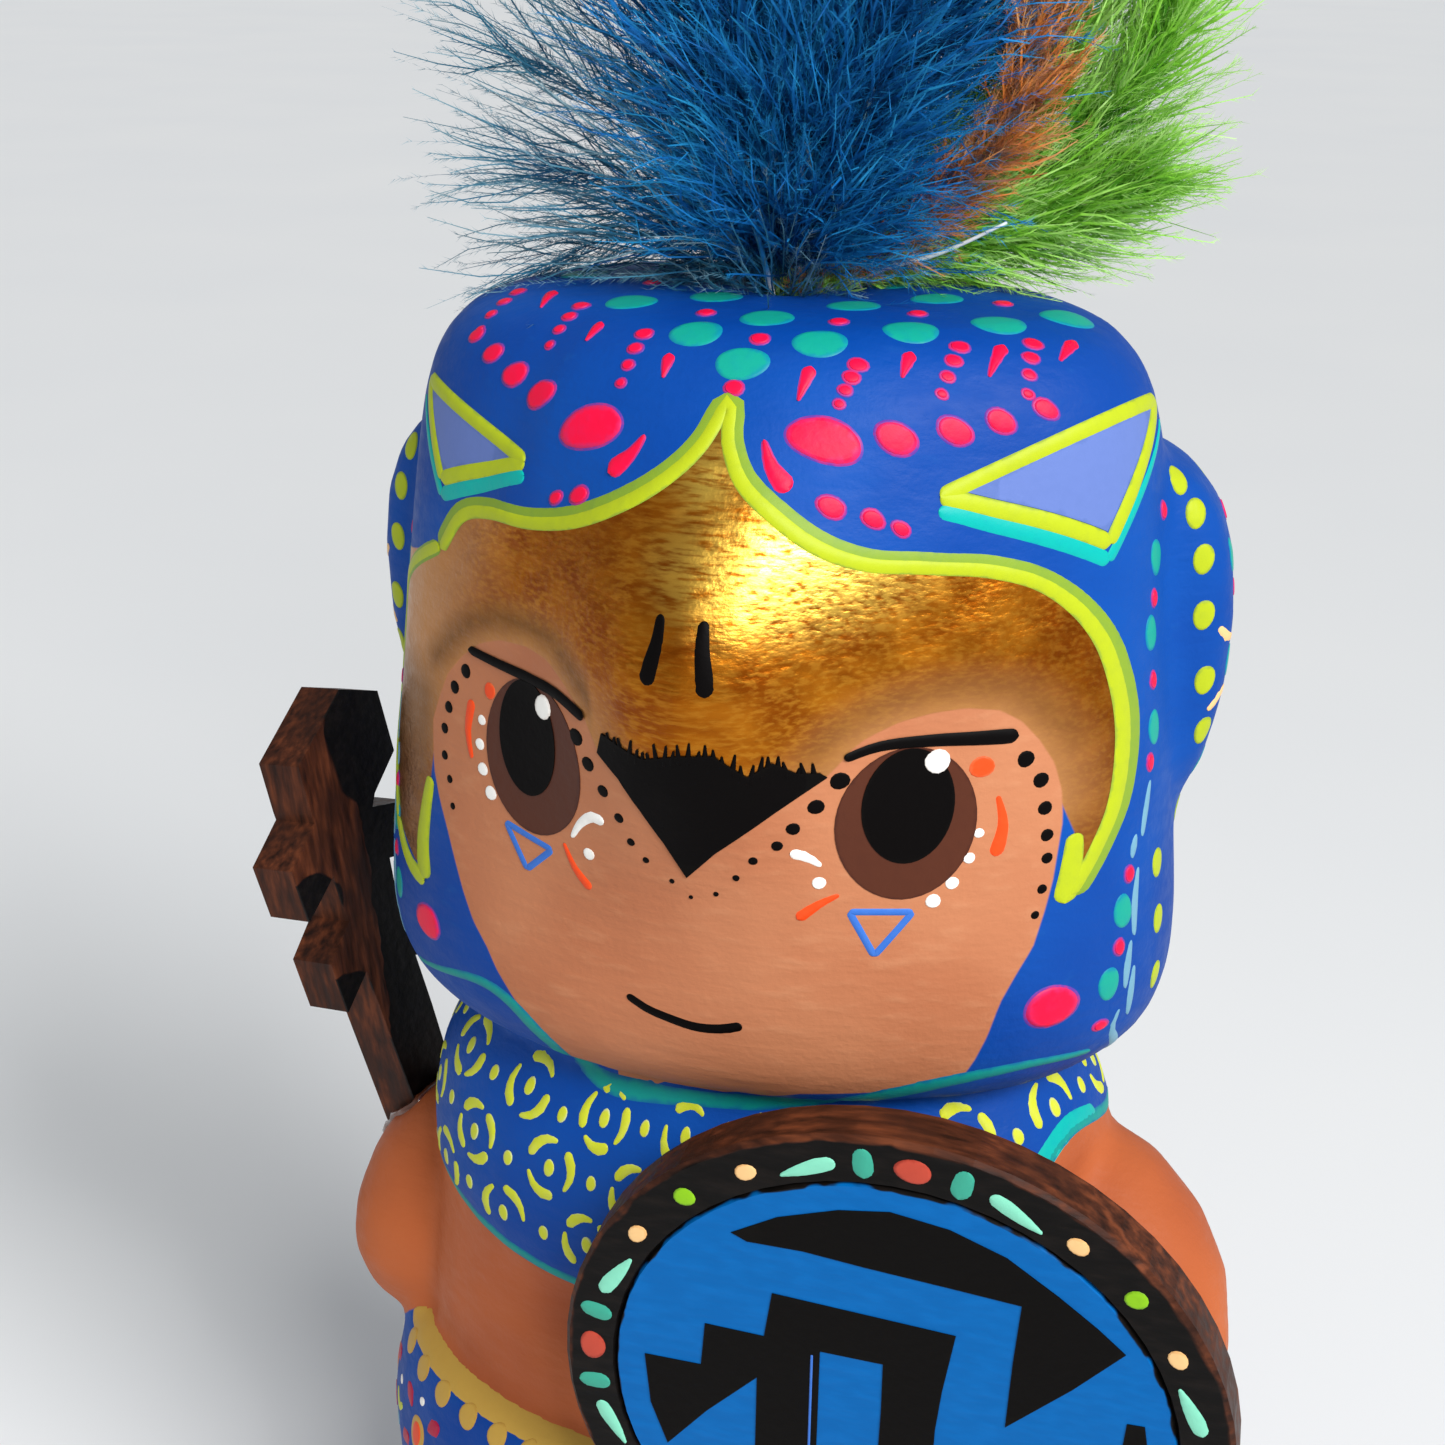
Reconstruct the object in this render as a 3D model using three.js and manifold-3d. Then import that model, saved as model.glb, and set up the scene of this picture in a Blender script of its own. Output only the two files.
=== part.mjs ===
// A painted clay figurine: a stocky eagle warrior with a big square head, a flat toothed club,
// a round shield and a tuft of dyed feathers. Millimetres, +Z up, the figure faces -Y.
// The origin is the middle of the underside of its low base.

import * as THREE from 'three';
import { mergeVertices } from 'three/addons/utils/BufferGeometryUtils.js';
import Module from 'manifold-3d';

const wasm = await Module();
wasm.setup();

// Driving dimensions. The clay is a free form, so its parts are shares of its height.
const figureHeight = 194;
const baseThickness = 8;
const fitClearance = 0.3;

const shieldRadius = 37.3;
const shieldThickness = 6;
const shieldForwardLean = 5;
const carvedLineWidth = 1.2;
const carvedLineDepth = 0.6;
const edgeBreak = 0.5;

const boardThickness = 6.5;
const boardToothReach = 5.4;
const boardHandleWidth = 9.4;
const boardSeatDepth = 9;

const plumeHoleDiameter = 6;
const plumeHoleDepth = 14;
const quillDiameter = 2;
const plumeHeight = 86;

// share() takes millimetres on a figure 194 tall and follows the height of this one.
const share = (size) => size * (figureHeight / 194);
const radians = THREE.MathUtils.degToRad;

const headHeight = share(87.6);
const headMiddle = figureHeight - headHeight / 2;
const fromHead = (x, y, z) => new THREE.Vector3(share(x), share(y), headMiddle + share(z));

// Surface colours, taken from the paint, the stain and the dyed down.
const paint = (color, roughness, metalness = 0) =>
  new THREE.MeshStandardMaterial({ color, roughness, metalness });
const paintedClay = paint(0x0b4fa6, 0.55);
const stainedWood = paint(0x4a2a1a, 0.5);
const blueDown = paint(0x00598c, 0.9);
const greenDown = paint(0x6cb52d, 0.9);

// A closed body through rings of equally many points, with a point in the middle of each end.
function loft(rings) {
  const count = rings[0].length;
  const middle = (ring) =>
    ring.reduce((sum, p) => sum.add(p), new THREE.Vector3()).divideScalar(ring.length);
  const points = rings.flat().concat([middle(rings[0]), middle(rings[rings.length - 1])]);
  const bottom = points.length - 2;
  const top = points.length - 1;
  const last = (rings.length - 1) * count;
  const index = [];
  for (let k = 0; k < count; k++) {
    const next = (k + 1) % count;
    index.push(bottom, next, k, top, last + k, last + next);
    for (let r = 0; r < rings.length - 1; r++) {
      const low = r * count;
      const high = low + count;
      index.push(low + k, low + next, high + next, low + k, high + next, high + k);
    }
  }
  const geometry = new THREE.BufferGeometry();
  geometry.setAttribute('position', new THREE.Float32BufferAttribute(
    points.flatMap((p) => [p.x, p.y, p.z]), 3));
  geometry.setIndex(index);
  return geometry;
}

// A level ring whose front and back halves are rounded squares of their own depth.
function levelRing({ z, halfWidth, front, back, centreY = 0, squareness = 2.3, count }) {
  const ring = [];
  for (let k = 0; k < count; k++) {
    const angle = 2 * Math.PI * k / count;
    const across = Math.cos(angle);
    const along = Math.sin(angle);
    const depth = along < 0 ? front : back;
    const x = halfWidth * Math.sign(across) * Math.abs(across) ** (2 / squareness);
    const y = depth * Math.sign(along) * Math.abs(along) ** (2 / squareness);
    ring.push(new THREE.Vector3(x, centreY + y, z));
  }
  return ring;
}

// A round limb along a path, with its own radius at each point and round ends.
function limb(path, radii, { count = 20, steps = 10, flatten = 1 } = {}) {
  const curve = new THREE.CatmullRomCurve3(path);
  const radiusAt = (t) => {
    const place = t * (radii.length - 1);
    const low = Math.min(Math.floor(place), radii.length - 2);
    return THREE.MathUtils.lerp(radii[low], radii[low + 1], place - low);
  };
  const rings = [];
  const addRing = (centre, tangent, radius) => {
    const side = new THREE.Vector3(1, 0, 0);
    if (Math.abs(tangent.x) > 0.9) side.set(0, 1, 0);
    const across = side.clone().addScaledVector(tangent, -side.dot(tangent)).normalize();
    const over = new THREE.Vector3().crossVectors(tangent, across);
    const ring = [];
    for (let k = 0; k < count; k++) {
      const angle = 2 * Math.PI * k / count;
      ring.push(centre.clone()
        .addScaledVector(across, radius * Math.cos(angle))
        .addScaledVector(over, radius * flatten * Math.sin(angle)));
    }
    rings.push(ring);
  };
  const startTangent = curve.getTangent(0);
  const endTangent = curve.getTangent(1);
  const capAngles = [80, 55, 28];
  for (const degrees of capAngles) {
    const a = radians(degrees);
    addRing(curve.getPoint(0).addScaledVector(startTangent, -radii[0] * Math.sin(a)),
      startTangent, radii[0] * Math.cos(a));
  }
  for (let k = 0; k <= steps; k++) {
    addRing(curve.getPoint(k / steps), curve.getTangent(k / steps), radiusAt(k / steps));
  }
  const endRadius = radii[radii.length - 1];
  for (const degrees of capAngles.toReversed()) {
    const a = radians(degrees);
    addRing(curve.getPoint(1).addScaledVector(endTangent, endRadius * Math.sin(a)),
      endTangent, endRadius * Math.cos(a));
  }
  return loft(rings);
}

function toSolid(geometry) {
  const bare = geometry.clone();
  bare.deleteAttribute('normal');
  bare.deleteAttribute('uv');
  const merged = mergeVertices(bare, 1e-4);
  return new wasm.Manifold(new wasm.Mesh({
    numProp: 3,
    vertProperties: new Float32Array(merged.attributes.position.array),
    triVerts: new Uint32Array(merged.index.array),
  }));
}

function toGeometry(solid) {
  const mesh = solid.getMesh();
  const geometry = new THREE.BufferGeometry();
  geometry.setAttribute('position', new THREE.Float32BufferAttribute(mesh.vertProperties, 3));
  geometry.setIndex(Array.from(mesh.triVerts));
  geometry.computeVertexNormals();
  return geometry;
}

const smoothStep = (low, high, value) => THREE.MathUtils.smoothstep(value, low, high);

// The head: a rounded block, wider at the jaw, with a beak-like swelling and a raised face.
function headSolid() {
  const halfHeight = headHeight / 2;
  const count = 56;
  const squareness = 7;
  const roundAt = (t) => (1 - Math.abs(t) ** squareness) ** (1 / squareness);
  const shoulder = [0.5, 0.75, 0.87, 0.94, 0.97].map(roundAt);
  const sideLevels = 12;
  const side = Array.from({ length: sideLevels + 1 }, (_, k) => 0.7 * (2 * k / sideLevels - 1));
  const levels = [...shoulder.map((t) => -t), ...side, ...shoulder.toReversed()];
  const rings = [];
  for (const t of levels) {
    const round = roundAt(t);
    const z = headMiddle + halfHeight * t;
    const ring = levelRing({
      z,
      halfWidth: share(45.8) * (1 - 0.098 * t) * round,
      front: share(29.5) * (1 - 0.21 * t) * round,
      back: share(25) * round,
      squareness: 2.15,
      count,
    });
    for (const p of ring) {
      if (p.y >= 0) continue;
      const x = p.x / share(1);
      const level = (z - headMiddle) / share(1);
      const beak = 12 * Math.exp(-((x / 16) ** 2) - (((level - 10) / 22) ** 2));
      const faceEdge = 36.8 - 0.008 * Math.max(0, -8 - level) ** 2 - 0.5 * Math.max(0, level - 2);
      const face = smoothStep(-1.6, 1.6, faceEdge - Math.abs(x)) * smoothStep(9, 3, level)
        * smoothStep(-42, -39, level);
      p.y -= share(beak * round + 1.1 * face);
    }
    rings.push(ring);
  }
  return toSolid(loft(rings));
}

// The feather mane behind the head: a big upper lobe and a small lower lobe on each side.
function maneSolid() {
  const outline = [
    [-45, 33], [-42, 39.5], [-38.5, 43.5], [-34, 46.6], [-28, 47.8], [-22, 47.4], [-17, 46.8],
    [-13, 47.6], [-8, 49.8], [0, 51.4], [9, 51.8], [16, 51], [21.5, 49], [25.5, 45.5],
    [28, 40], [29.3, 33],
  ];
  const rings = outline.map(([level, halfWidth]) => levelRing({
    z: headMiddle + share(level),
    halfWidth: share(halfWidth),
    front: share(8) * Math.min(1, halfWidth / 45),
    back: share(24) * Math.min(1, halfWidth / 46),
    centreY: share(4),
    squareness: 2.6,
    count: 36,
  }));
  return toSolid(loft(rings));
}

// The trunk, its belly bare, under a short rounded cape that ends in a soft step.
function trunkSolid() {
  const levels = [
    [-100, 40, 29, 24], [-94, 44.6, 32.6, 26], [-88, 45.2, 33, 26.5], [-82, 44.6, 32.6, 26],
    [-77, 43.9, 32, 26], [-73, 43.3, 31.6, 25.5], [-69.5, 42.9, 31.2, 25], [-66, 42.6, 31, 25],
    [-62.5, 42.4, 30.8, 25], [-59, 42.1, 30.4, 24.5], [-54, 41.2, 29.4, 24],
    [-49, 39, 27.6, 22.5], [-42, 35, 24, 20],
  ];
  const capeThickness = 1.6;
  const capeHem = (angle) => -65 - 6.5 * Math.cos(angle) + 9 * Math.max(0, Math.sin(angle)) ** 2;
  const rings = levels.map(([level, halfWidth, front, back]) => {
    const ring = levelRing({
      z: headMiddle + share(level), halfWidth: share(halfWidth), front: share(front),
      back: share(back), squareness: 2.2, count: 38,
    });
    for (const p of ring) {
      const angle = Math.atan2(p.x, -p.y);
      const proud = capeThickness * smoothStep(-1.6, 1.6, level - capeHem(angle));
      const spread = 1 + share(proud) / Math.hypot(p.x, p.y);
      p.x *= spread;
      p.y *= spread;
    }
    return ring;
  });
  return toSolid(loft(rings));
}

// The skirt: a full rounded form whose upper edge stands off the trunk, with a scalloped band.
function skirtSolid() {
  const levels = [
    [-136.5, 43, 32, 27], [-135, 46, 34.6, 29.2], [-129, 48.6, 36.6, 31], [-120, 50.4, 37.8, 32],
    [-107, 51.2, 38.4, 32.4], [-100, 50.2, 37.6, 31.4], [-95, 48.8, 36.2, 30.2],
    [-93.2, 48, 35.4, 29.4], [-92.6, 46.6, 34.2, 28],
  ];
  return toSolid(loft(levels.map(([level, halfWidth, front, back]) => levelRing({
    z: headMiddle + share(level), halfWidth: share(halfWidth), front: share(front),
    back: share(back), squareness: 2.2, count: 38,
  }))));
}

// One arm on each side: the hand at -x holds the club, the hand at +x carries the shield.
function armSolids() {
  const clubArm = limb(
    [fromHead(-34, 3, -69), fromHead(-43.5, 1, -79), fromHead(-45.6, -2, -87)],
    [8, 12, 12.6].map(share), { steps: 8 });
  const shieldArm = limb(
    [fromHead(33, -1, -62), fromHead(43, -3, -69), fromHead(47.5, -9, -79),
      fromHead(37, -25, -82), fromHead(27, -31, -79)],
    [9, 12.4, 13.4, 10.5, 8.5].map(share));
  return [toSolid(clubArm), toSolid(shieldArm)];
}

// Two short thick legs pressed together, with rounded feet that show under the skirt's hem.
function legSolids() {
  const solids = [];
  for (const side of [-1, 1]) {
    solids.push(toSolid(limb(
      [fromHead(side * 18, 0, -114), fromHead(side * 18, 0, -121), fromHead(side * 18, -1, -128)],
      [19, 19, 19].map(share), { count: 20, steps: 3 })));
    solids.push(toSolid(limb(
      [fromHead(side * 19, -8, -138), fromHead(side * 20, -18, -138), fromHead(side * 21, -29, -138)],
      [9, 9, 7.4].map(share), { count: 16, steps: 4 })));
  }
  return solids;
}

function baseSolid() {
  const halfWidth = share(50);
  const front = share(41);
  const back = share(35);
  const edge = 1.6;
  const rings = [];
  for (const [z, inset] of [[0, edge], [edge, 0], [baseThickness - edge, 0], [baseThickness, edge]]) {
    rings.push(levelRing({
      z, halfWidth: halfWidth - inset, front: front - inset, back: back - inset, count: 44,
    }));
  }
  return toSolid(loft(rings));
}

// The shield: a flat round board, its face towards -y, with a ring carved round its field.
const shieldSides = 56;
const shieldPose = new THREE.Matrix4().compose(
  fromHead(25.5, -44.4, -70),
  new THREE.Quaternion().setFromEuler(new THREE.Euler(radians(shieldForwardLean), 0, 0)),
  new THREE.Vector3(1, 1, 1));

function shieldBoard(extra) {
  const radius = shieldRadius + extra;
  const half = shieldThickness / 2 + extra;
  const profile = [
    new THREE.Vector2(0, -half), new THREE.Vector2(radius - edgeBreak, -half),
    new THREE.Vector2(radius, -half + edgeBreak), new THREE.Vector2(radius, half - edgeBreak),
    new THREE.Vector2(radius - edgeBreak, half), new THREE.Vector2(0, half),
  ];
  const board = new THREE.LatheGeometry(profile, shieldSides).translate(0, shieldThickness / 2, 0);
  return toSolid(board.applyMatrix4(shieldPose));
}

function shieldSolid() {
  const fieldRadius = shieldRadius * 0.84;
  const half = carvedLineWidth / 2;
  const groove = new THREE.LatheGeometry([
    new THREE.Vector2(fieldRadius - half, -carvedLineDepth),
    new THREE.Vector2(fieldRadius + half, -carvedLineDepth),
    new THREE.Vector2(fieldRadius, carvedLineDepth),
    new THREE.Vector2(fieldRadius - half, -carvedLineDepth),
  ], shieldSides).applyMatrix4(shieldPose);
  return shieldBoard(0).subtract(toSolid(groove));
}

// The club: one flat board. Its outline has the handle's foot at 0, 0 and rises along y, with
// three teeth to the front at -x and two teeth and a blunt crown to the back at +x.
function clubOutline(extra) {
  const handle = boardHandleWidth / 2 + extra;
  const foot = handle * 0.82;
  const reach = boardHandleWidth / 2 + boardToothReach + extra;
  const outer = share(7.6);
  const slope = share(3.1);
  const undercut = share(2.7);
  const pitch = share(15);
  const tooth = (body, tip, level) => [
    [body, level + undercut], [tip, level], [tip, level + outer], [body, level + outer + slope]];
  const backDrift = share(2.4);
  const backLevel = share(25);
  const frontLevel = share(29.1);
  const crown = frontLevel + 2 * pitch;
  const back = [0, 1].flatMap((k) => tooth(
    handle + k * backDrift / 2, reach + k * backDrift, backLevel + k * pitch));
  const front = [0, 1].map((k) => tooth(-handle, -reach - k, frontLevel + k * pitch));
  return [
    [-foot, -boardSeatDepth - extra], [foot, -boardSeatDepth - extra],
    [handle, backLevel - 2 * undercut], ...back,
    [handle + backDrift, crown - share(7)], [reach + backDrift * 1.2, crown - share(4)],
    [reach + backDrift * 1.4, crown + share(4.8)], [handle + backDrift, crown + share(8.6)],
    [-handle + edgeBreak, crown + share(3.8)], [-handle, crown - slope],
    ...front.flat().reverse(),
  ];
}

function clubBoard(extra) {
  const turn = radians(77);
  const lean = radians(8);
  const forward = radians(11.5);
  const normal = new THREE.Vector3(
    Math.sin(turn) * Math.cos(lean), -Math.cos(turn) * Math.cos(lean), Math.sin(lean));
  const level = new THREE.Vector3(-normal.y, normal.x, 0).normalize();
  const rise = new THREE.Vector3().crossVectors(normal, level);
  const across = level.clone().multiplyScalar(Math.cos(forward))
    .addScaledVector(rise, Math.sin(forward));
  const along = new THREE.Vector3().crossVectors(normal, across);
  const pose = new THREE.Matrix4().makeBasis(across, along, normal)
    .setPosition(fromHead(-47.4, 5.3, -78.4));
  const shape = new THREE.Shape(clubOutline(extra).map(([x, y]) => new THREE.Vector2(x, y)));
  const depth = boardThickness + 2 * extra;
  const board = new THREE.ExtrudeGeometry(shape, { depth, bevelEnabled: false });
  return toSolid(board.translate(0, 0, -boardThickness - extra).applyMatrix4(pose));
}

// The plume: two tufts of down whose quills stand side by side in one hole in the head's top.
// The blue one is a broad crest with a looser spray to the figure's right.
const crownTop = (x, y, rise) => new THREE.Vector3(share(x), share(y), figureHeight + rise);
const quillSpread = (plumeHoleDiameter - quillDiameter) / 2 - 2 * fitClearance;

function plumeHole() {
  const hole = new THREE.CylinderGeometry(
    plumeHoleDiameter / 2, plumeHoleDiameter / 2, 2 * plumeHoleDepth, 24);
  return toSolid(hole.rotateX(Math.PI / 2).translate(0, 0, figureHeight));
}

function tuft(path, radii, flatten) {
  return toSolid(limb(path, radii, { count: 16, steps: 12, flatten }));
}

function plumeSolids() {
  const quill = quillDiameter / 2;
  const seat = -plumeHoleDepth + quill + fitClearance;
  const rise = (level) => level * (plumeHeight / 86);
  const throat = rise(1.5);
  const crest = tuft([
    crownTop(-quillSpread, 0, seat), crownTop(-quillSpread, 0, throat),
    crownTop(-2, -1, rise(9)), crownTop(-2, -1.5, rise(28)), crownTop(-3, -1, rise(50)),
    crownTop(-3, 0, rise(72)),
  ], [quill, quill, ...[14, 23, 21.5, 11].map(share)], 0.78);
  const spray = tuft([
    crownTop(-4, 0, rise(6)), crownTop(-15, 0.5, rise(13)), crownTop(-27, 1, rise(22)),
    crownTop(-31, 1.5, rise(34)),
  ], [3, 10, 13.5, 11].map(share), 0.8);
  const blue = crest.add(spray);
  const green = tuft([
    crownTop(quillSpread, 0, seat), crownTop(quillSpread, 0.4, throat),
    crownTop(15, 9, rise(9)), crownTop(31, 10, rise(20)), crownTop(37, 9, rise(38)),
    crownTop(36, 8, rise(58)),
  ], [quill, quill, ...[7, 14, 14.5, 9].map(share)], 0.85);
  const downGap = fitClearance + 0.2;
  let trimmed = green;
  for (const [sx, sy] of [[1, 0], [1, 1], [0, 1], [1, -1]]) {
    trimmed = trimmed.subtract(blue.translate([sx * downGap, sy * downGap, 0]));
  }
  return { blue, green: trimmed };
}

function node(name, solid, material) {
  const mesh = new THREE.Mesh(toGeometry(solid), material);
  mesh.name = name;
  return mesh;
}

const clay = [
  headSolid(), maneSolid(), trunkSolid(), skirtSolid(), ...armSolids(), ...legSolids(),
  baseSolid(),
].reduce((whole, form) => whole.add(form))
  .subtract(plumeHole())
  .subtract(clubBoard(fitClearance))
  .subtract(shieldBoard(fitClearance));

const plume = plumeSolids();
const figurine = new THREE.Group();
figurine.add(
  node('clay_figure', clay, paintedClay),
  node('shield', shieldSolid(), stainedWood),
  node('club', clubBoard(0), stainedWood.clone()),
  node('plume_blue', plume.blue, blueDown),
  node('plume_green', plume.green, greenDown),
);

export default figurine;
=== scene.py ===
import math
import random

import bpy
import numpy as np
from mathutils import Matrix, Vector, noise
from mathutils.bvhtree import BVHTree
from mathutils.geometry import delaunay_2d_cdt


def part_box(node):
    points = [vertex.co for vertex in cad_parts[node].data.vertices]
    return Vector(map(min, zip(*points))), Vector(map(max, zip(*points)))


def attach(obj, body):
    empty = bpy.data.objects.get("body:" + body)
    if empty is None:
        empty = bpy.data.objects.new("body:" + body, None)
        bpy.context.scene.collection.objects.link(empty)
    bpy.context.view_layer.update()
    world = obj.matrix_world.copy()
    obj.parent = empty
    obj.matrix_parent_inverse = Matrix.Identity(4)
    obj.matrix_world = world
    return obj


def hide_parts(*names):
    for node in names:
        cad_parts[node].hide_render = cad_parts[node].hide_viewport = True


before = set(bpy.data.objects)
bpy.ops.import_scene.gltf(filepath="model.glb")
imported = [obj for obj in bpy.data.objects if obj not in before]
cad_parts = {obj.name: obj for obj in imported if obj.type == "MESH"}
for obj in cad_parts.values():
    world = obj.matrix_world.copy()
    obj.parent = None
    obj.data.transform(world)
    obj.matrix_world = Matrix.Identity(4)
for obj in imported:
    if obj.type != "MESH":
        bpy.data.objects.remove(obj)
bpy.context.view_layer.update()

# The script works in millimetres of the part's frame: x to the figure's left, y to its back.
MM = 0.001
HEAD_HEIGHT = 87.6
CROWN = (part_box("clay_figure")[1] / MM).z
HEAD_MIDDLE = CROWN - HEAD_HEIGHT / 2

# Camera: a phone held close, above the figure's eyes and to its left.
PHOTO_SIDE = 1445
CAMERA_AZIMUTH = 16.3
CAMERA_ELEVATION = 21.9
CAMERA_ROLL = 0.5
CAMERA_DISTANCE = 260
FOCAL_LENGTH_PIXELS = 2170
SENSOR_WIDTH = 36
AIM_POINT = Vector((-6.33, -1.85, HEAD_MIDDLE - 8.4))

# The shield's front: its middle comes from the frame, its tilt and painted field from here.
SHIELD_THICKNESS = 6
SHIELD_TILT = math.radians(5)
FIELD_RADIUS = 31
BORDER_RADIUS = 36.7

# The club's front: the turn, tip and lean of its board and the foot of its handle.
CLUB_TURN = math.radians(77)
CLUB_TIP = math.radians(8)
CLUB_LEAN = math.radians(11.5)
CLUB_FOOT = Vector((-47.4, 5.3, HEAD_MIDDLE - 78.4))

# Painted areas of the clay, from the head's middle: each arm's path and radii, the skirt's upper
# edge, the cape's highest point round the trunk, and how far back the gold runs on the side.
CLUB_ARM = [(-34, 3, -69), (-43.5, 1, -79), (-45.6, -2, -87)]
CLUB_ARM_RADII = [8, 12, 12.6]
SHIELD_ARM = [(33, -1, -62), (43, -3, -69), (47.5, -9, -79), (37, -25, -82), (27, -31, -79)]
SHIELD_ARM_RADII = [9, 12.4, 13.4, 10.5, 8.5]
SKIRT_EDGE = -92.3
SHOULDER_ANGLE = math.radians(72)
GOLD_SIDE_EDGE = -8

# The base's top over the floor.
BASE_TOP = 8

SKIN_VOXEL = 1.2
PAINT_THICKNESS = 0.1
PAINT_SINK = 0.08
STEP_ALONG_STROKE = 0.9


def linear(hex_colour):
    """An sRGB hex colour as linear RGBA."""
    parts = [int(hex_colour[i:i + 2], 16) / 255 for i in (1, 3, 5)]
    return [p / 12.92 if p <= 0.04045 else ((p + 0.055) / 1.055) ** 2.4 for p in parts] + [1.0]


# Materials

def put(tree, kind, inputs=None, **settings):
    """Adds a node with its settings; an input is a value or another node's output."""
    node = tree.nodes.new(kind)
    for name, value in settings.items():
        setattr(node, name, value)
    for name, value in (inputs or {}).items():
        if isinstance(value, bpy.types.NodeSocket):
            tree.links.new(value, node.inputs[name])
        else:
            node.inputs[name].default_value = value
    return node


def new_material(name):
    """A material with an empty node tree, its output node and its object coordinates in metres."""
    material = bpy.data.materials.new(name)
    material.use_nodes = True
    tree = material.node_tree
    tree.nodes.clear()
    place = put(tree, "ShaderNodeTexCoord").outputs["Object"]
    return material, tree, place


def finish_material(tree, shader):
    put(tree, "ShaderNodeOutputMaterial", {"Surface": shader.outputs["BSDF"]})


def noise_of(tree, place, size_mm, detail=3.0, stretch=(1, 1, 1)):
    """Noise whose features are about size_mm wide, stretched along the axes."""
    scaled = put(tree, "ShaderNodeMapping", {"Vector": place, "Scale": stretch})
    texture = put(tree, "ShaderNodeTexNoise", {
        "Vector": scaled.outputs["Vector"], "Scale": 1 / (size_mm * MM), "Detail": detail})
    return texture.outputs["Fac"]


def ramp(tree, value, stops, interpolation="LINEAR"):
    """A colour ramp from (position, hex colour) stops."""
    node = put(tree, "ShaderNodeValToRGB", {"Fac": value})
    node.color_ramp.interpolation = interpolation
    elements = node.color_ramp.elements
    while len(elements) > 1:
        elements.remove(elements[-1])
    elements[0].position = stops[0][0]
    elements[0].color = linear(stops[0][1])
    for position, colour in stops[1:]:
        elements.new(position).color = linear(colour)
    return node.outputs["Color"]


def span(tree, value, low, high, to_low=0.0, to_high=1.0, kind="SMOOTHSTEP"):
    """The value carried from one range to another, held at its ends."""
    return put(tree, "ShaderNodeMapRange", {
        "Value": value, "From Min": low, "From Max": high, "To Min": to_low, "To Max": to_high,
    }, interpolation_type=kind).outputs["Result"]


def mixed(tree, factor, first, second):
    """Colour between first and second by factor."""
    node = put(tree, "ShaderNodeMix", data_type="RGBA")
    for index, value in ((0, factor), (6, first), (7, second)):
        if isinstance(value, bpy.types.NodeSocket):
            tree.links.new(value, node.inputs[index])
        else:
            node.inputs[index].default_value = value
    return node.outputs[2]


def maths(tree, operation, *values):
    node = put(tree, "ShaderNodeMath", operation=operation)
    for index, value in enumerate(values):
        if isinstance(value, bpy.types.NodeSocket):
            tree.links.new(value, node.inputs[index])
        else:
            node.inputs[index].default_value = value
    return node.outputs["Value"]


def attribute(tree, name):
    return put(tree, "ShaderNodeAttribute", attribute_name=name).outputs["Fac"]


def bump(tree, height, distance_mm, strength=1.0):
    return put(tree, "ShaderNodeBump", {
        "Height": height, "Distance": distance_mm * MM, "Strength": strength}).outputs["Normal"]


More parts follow.
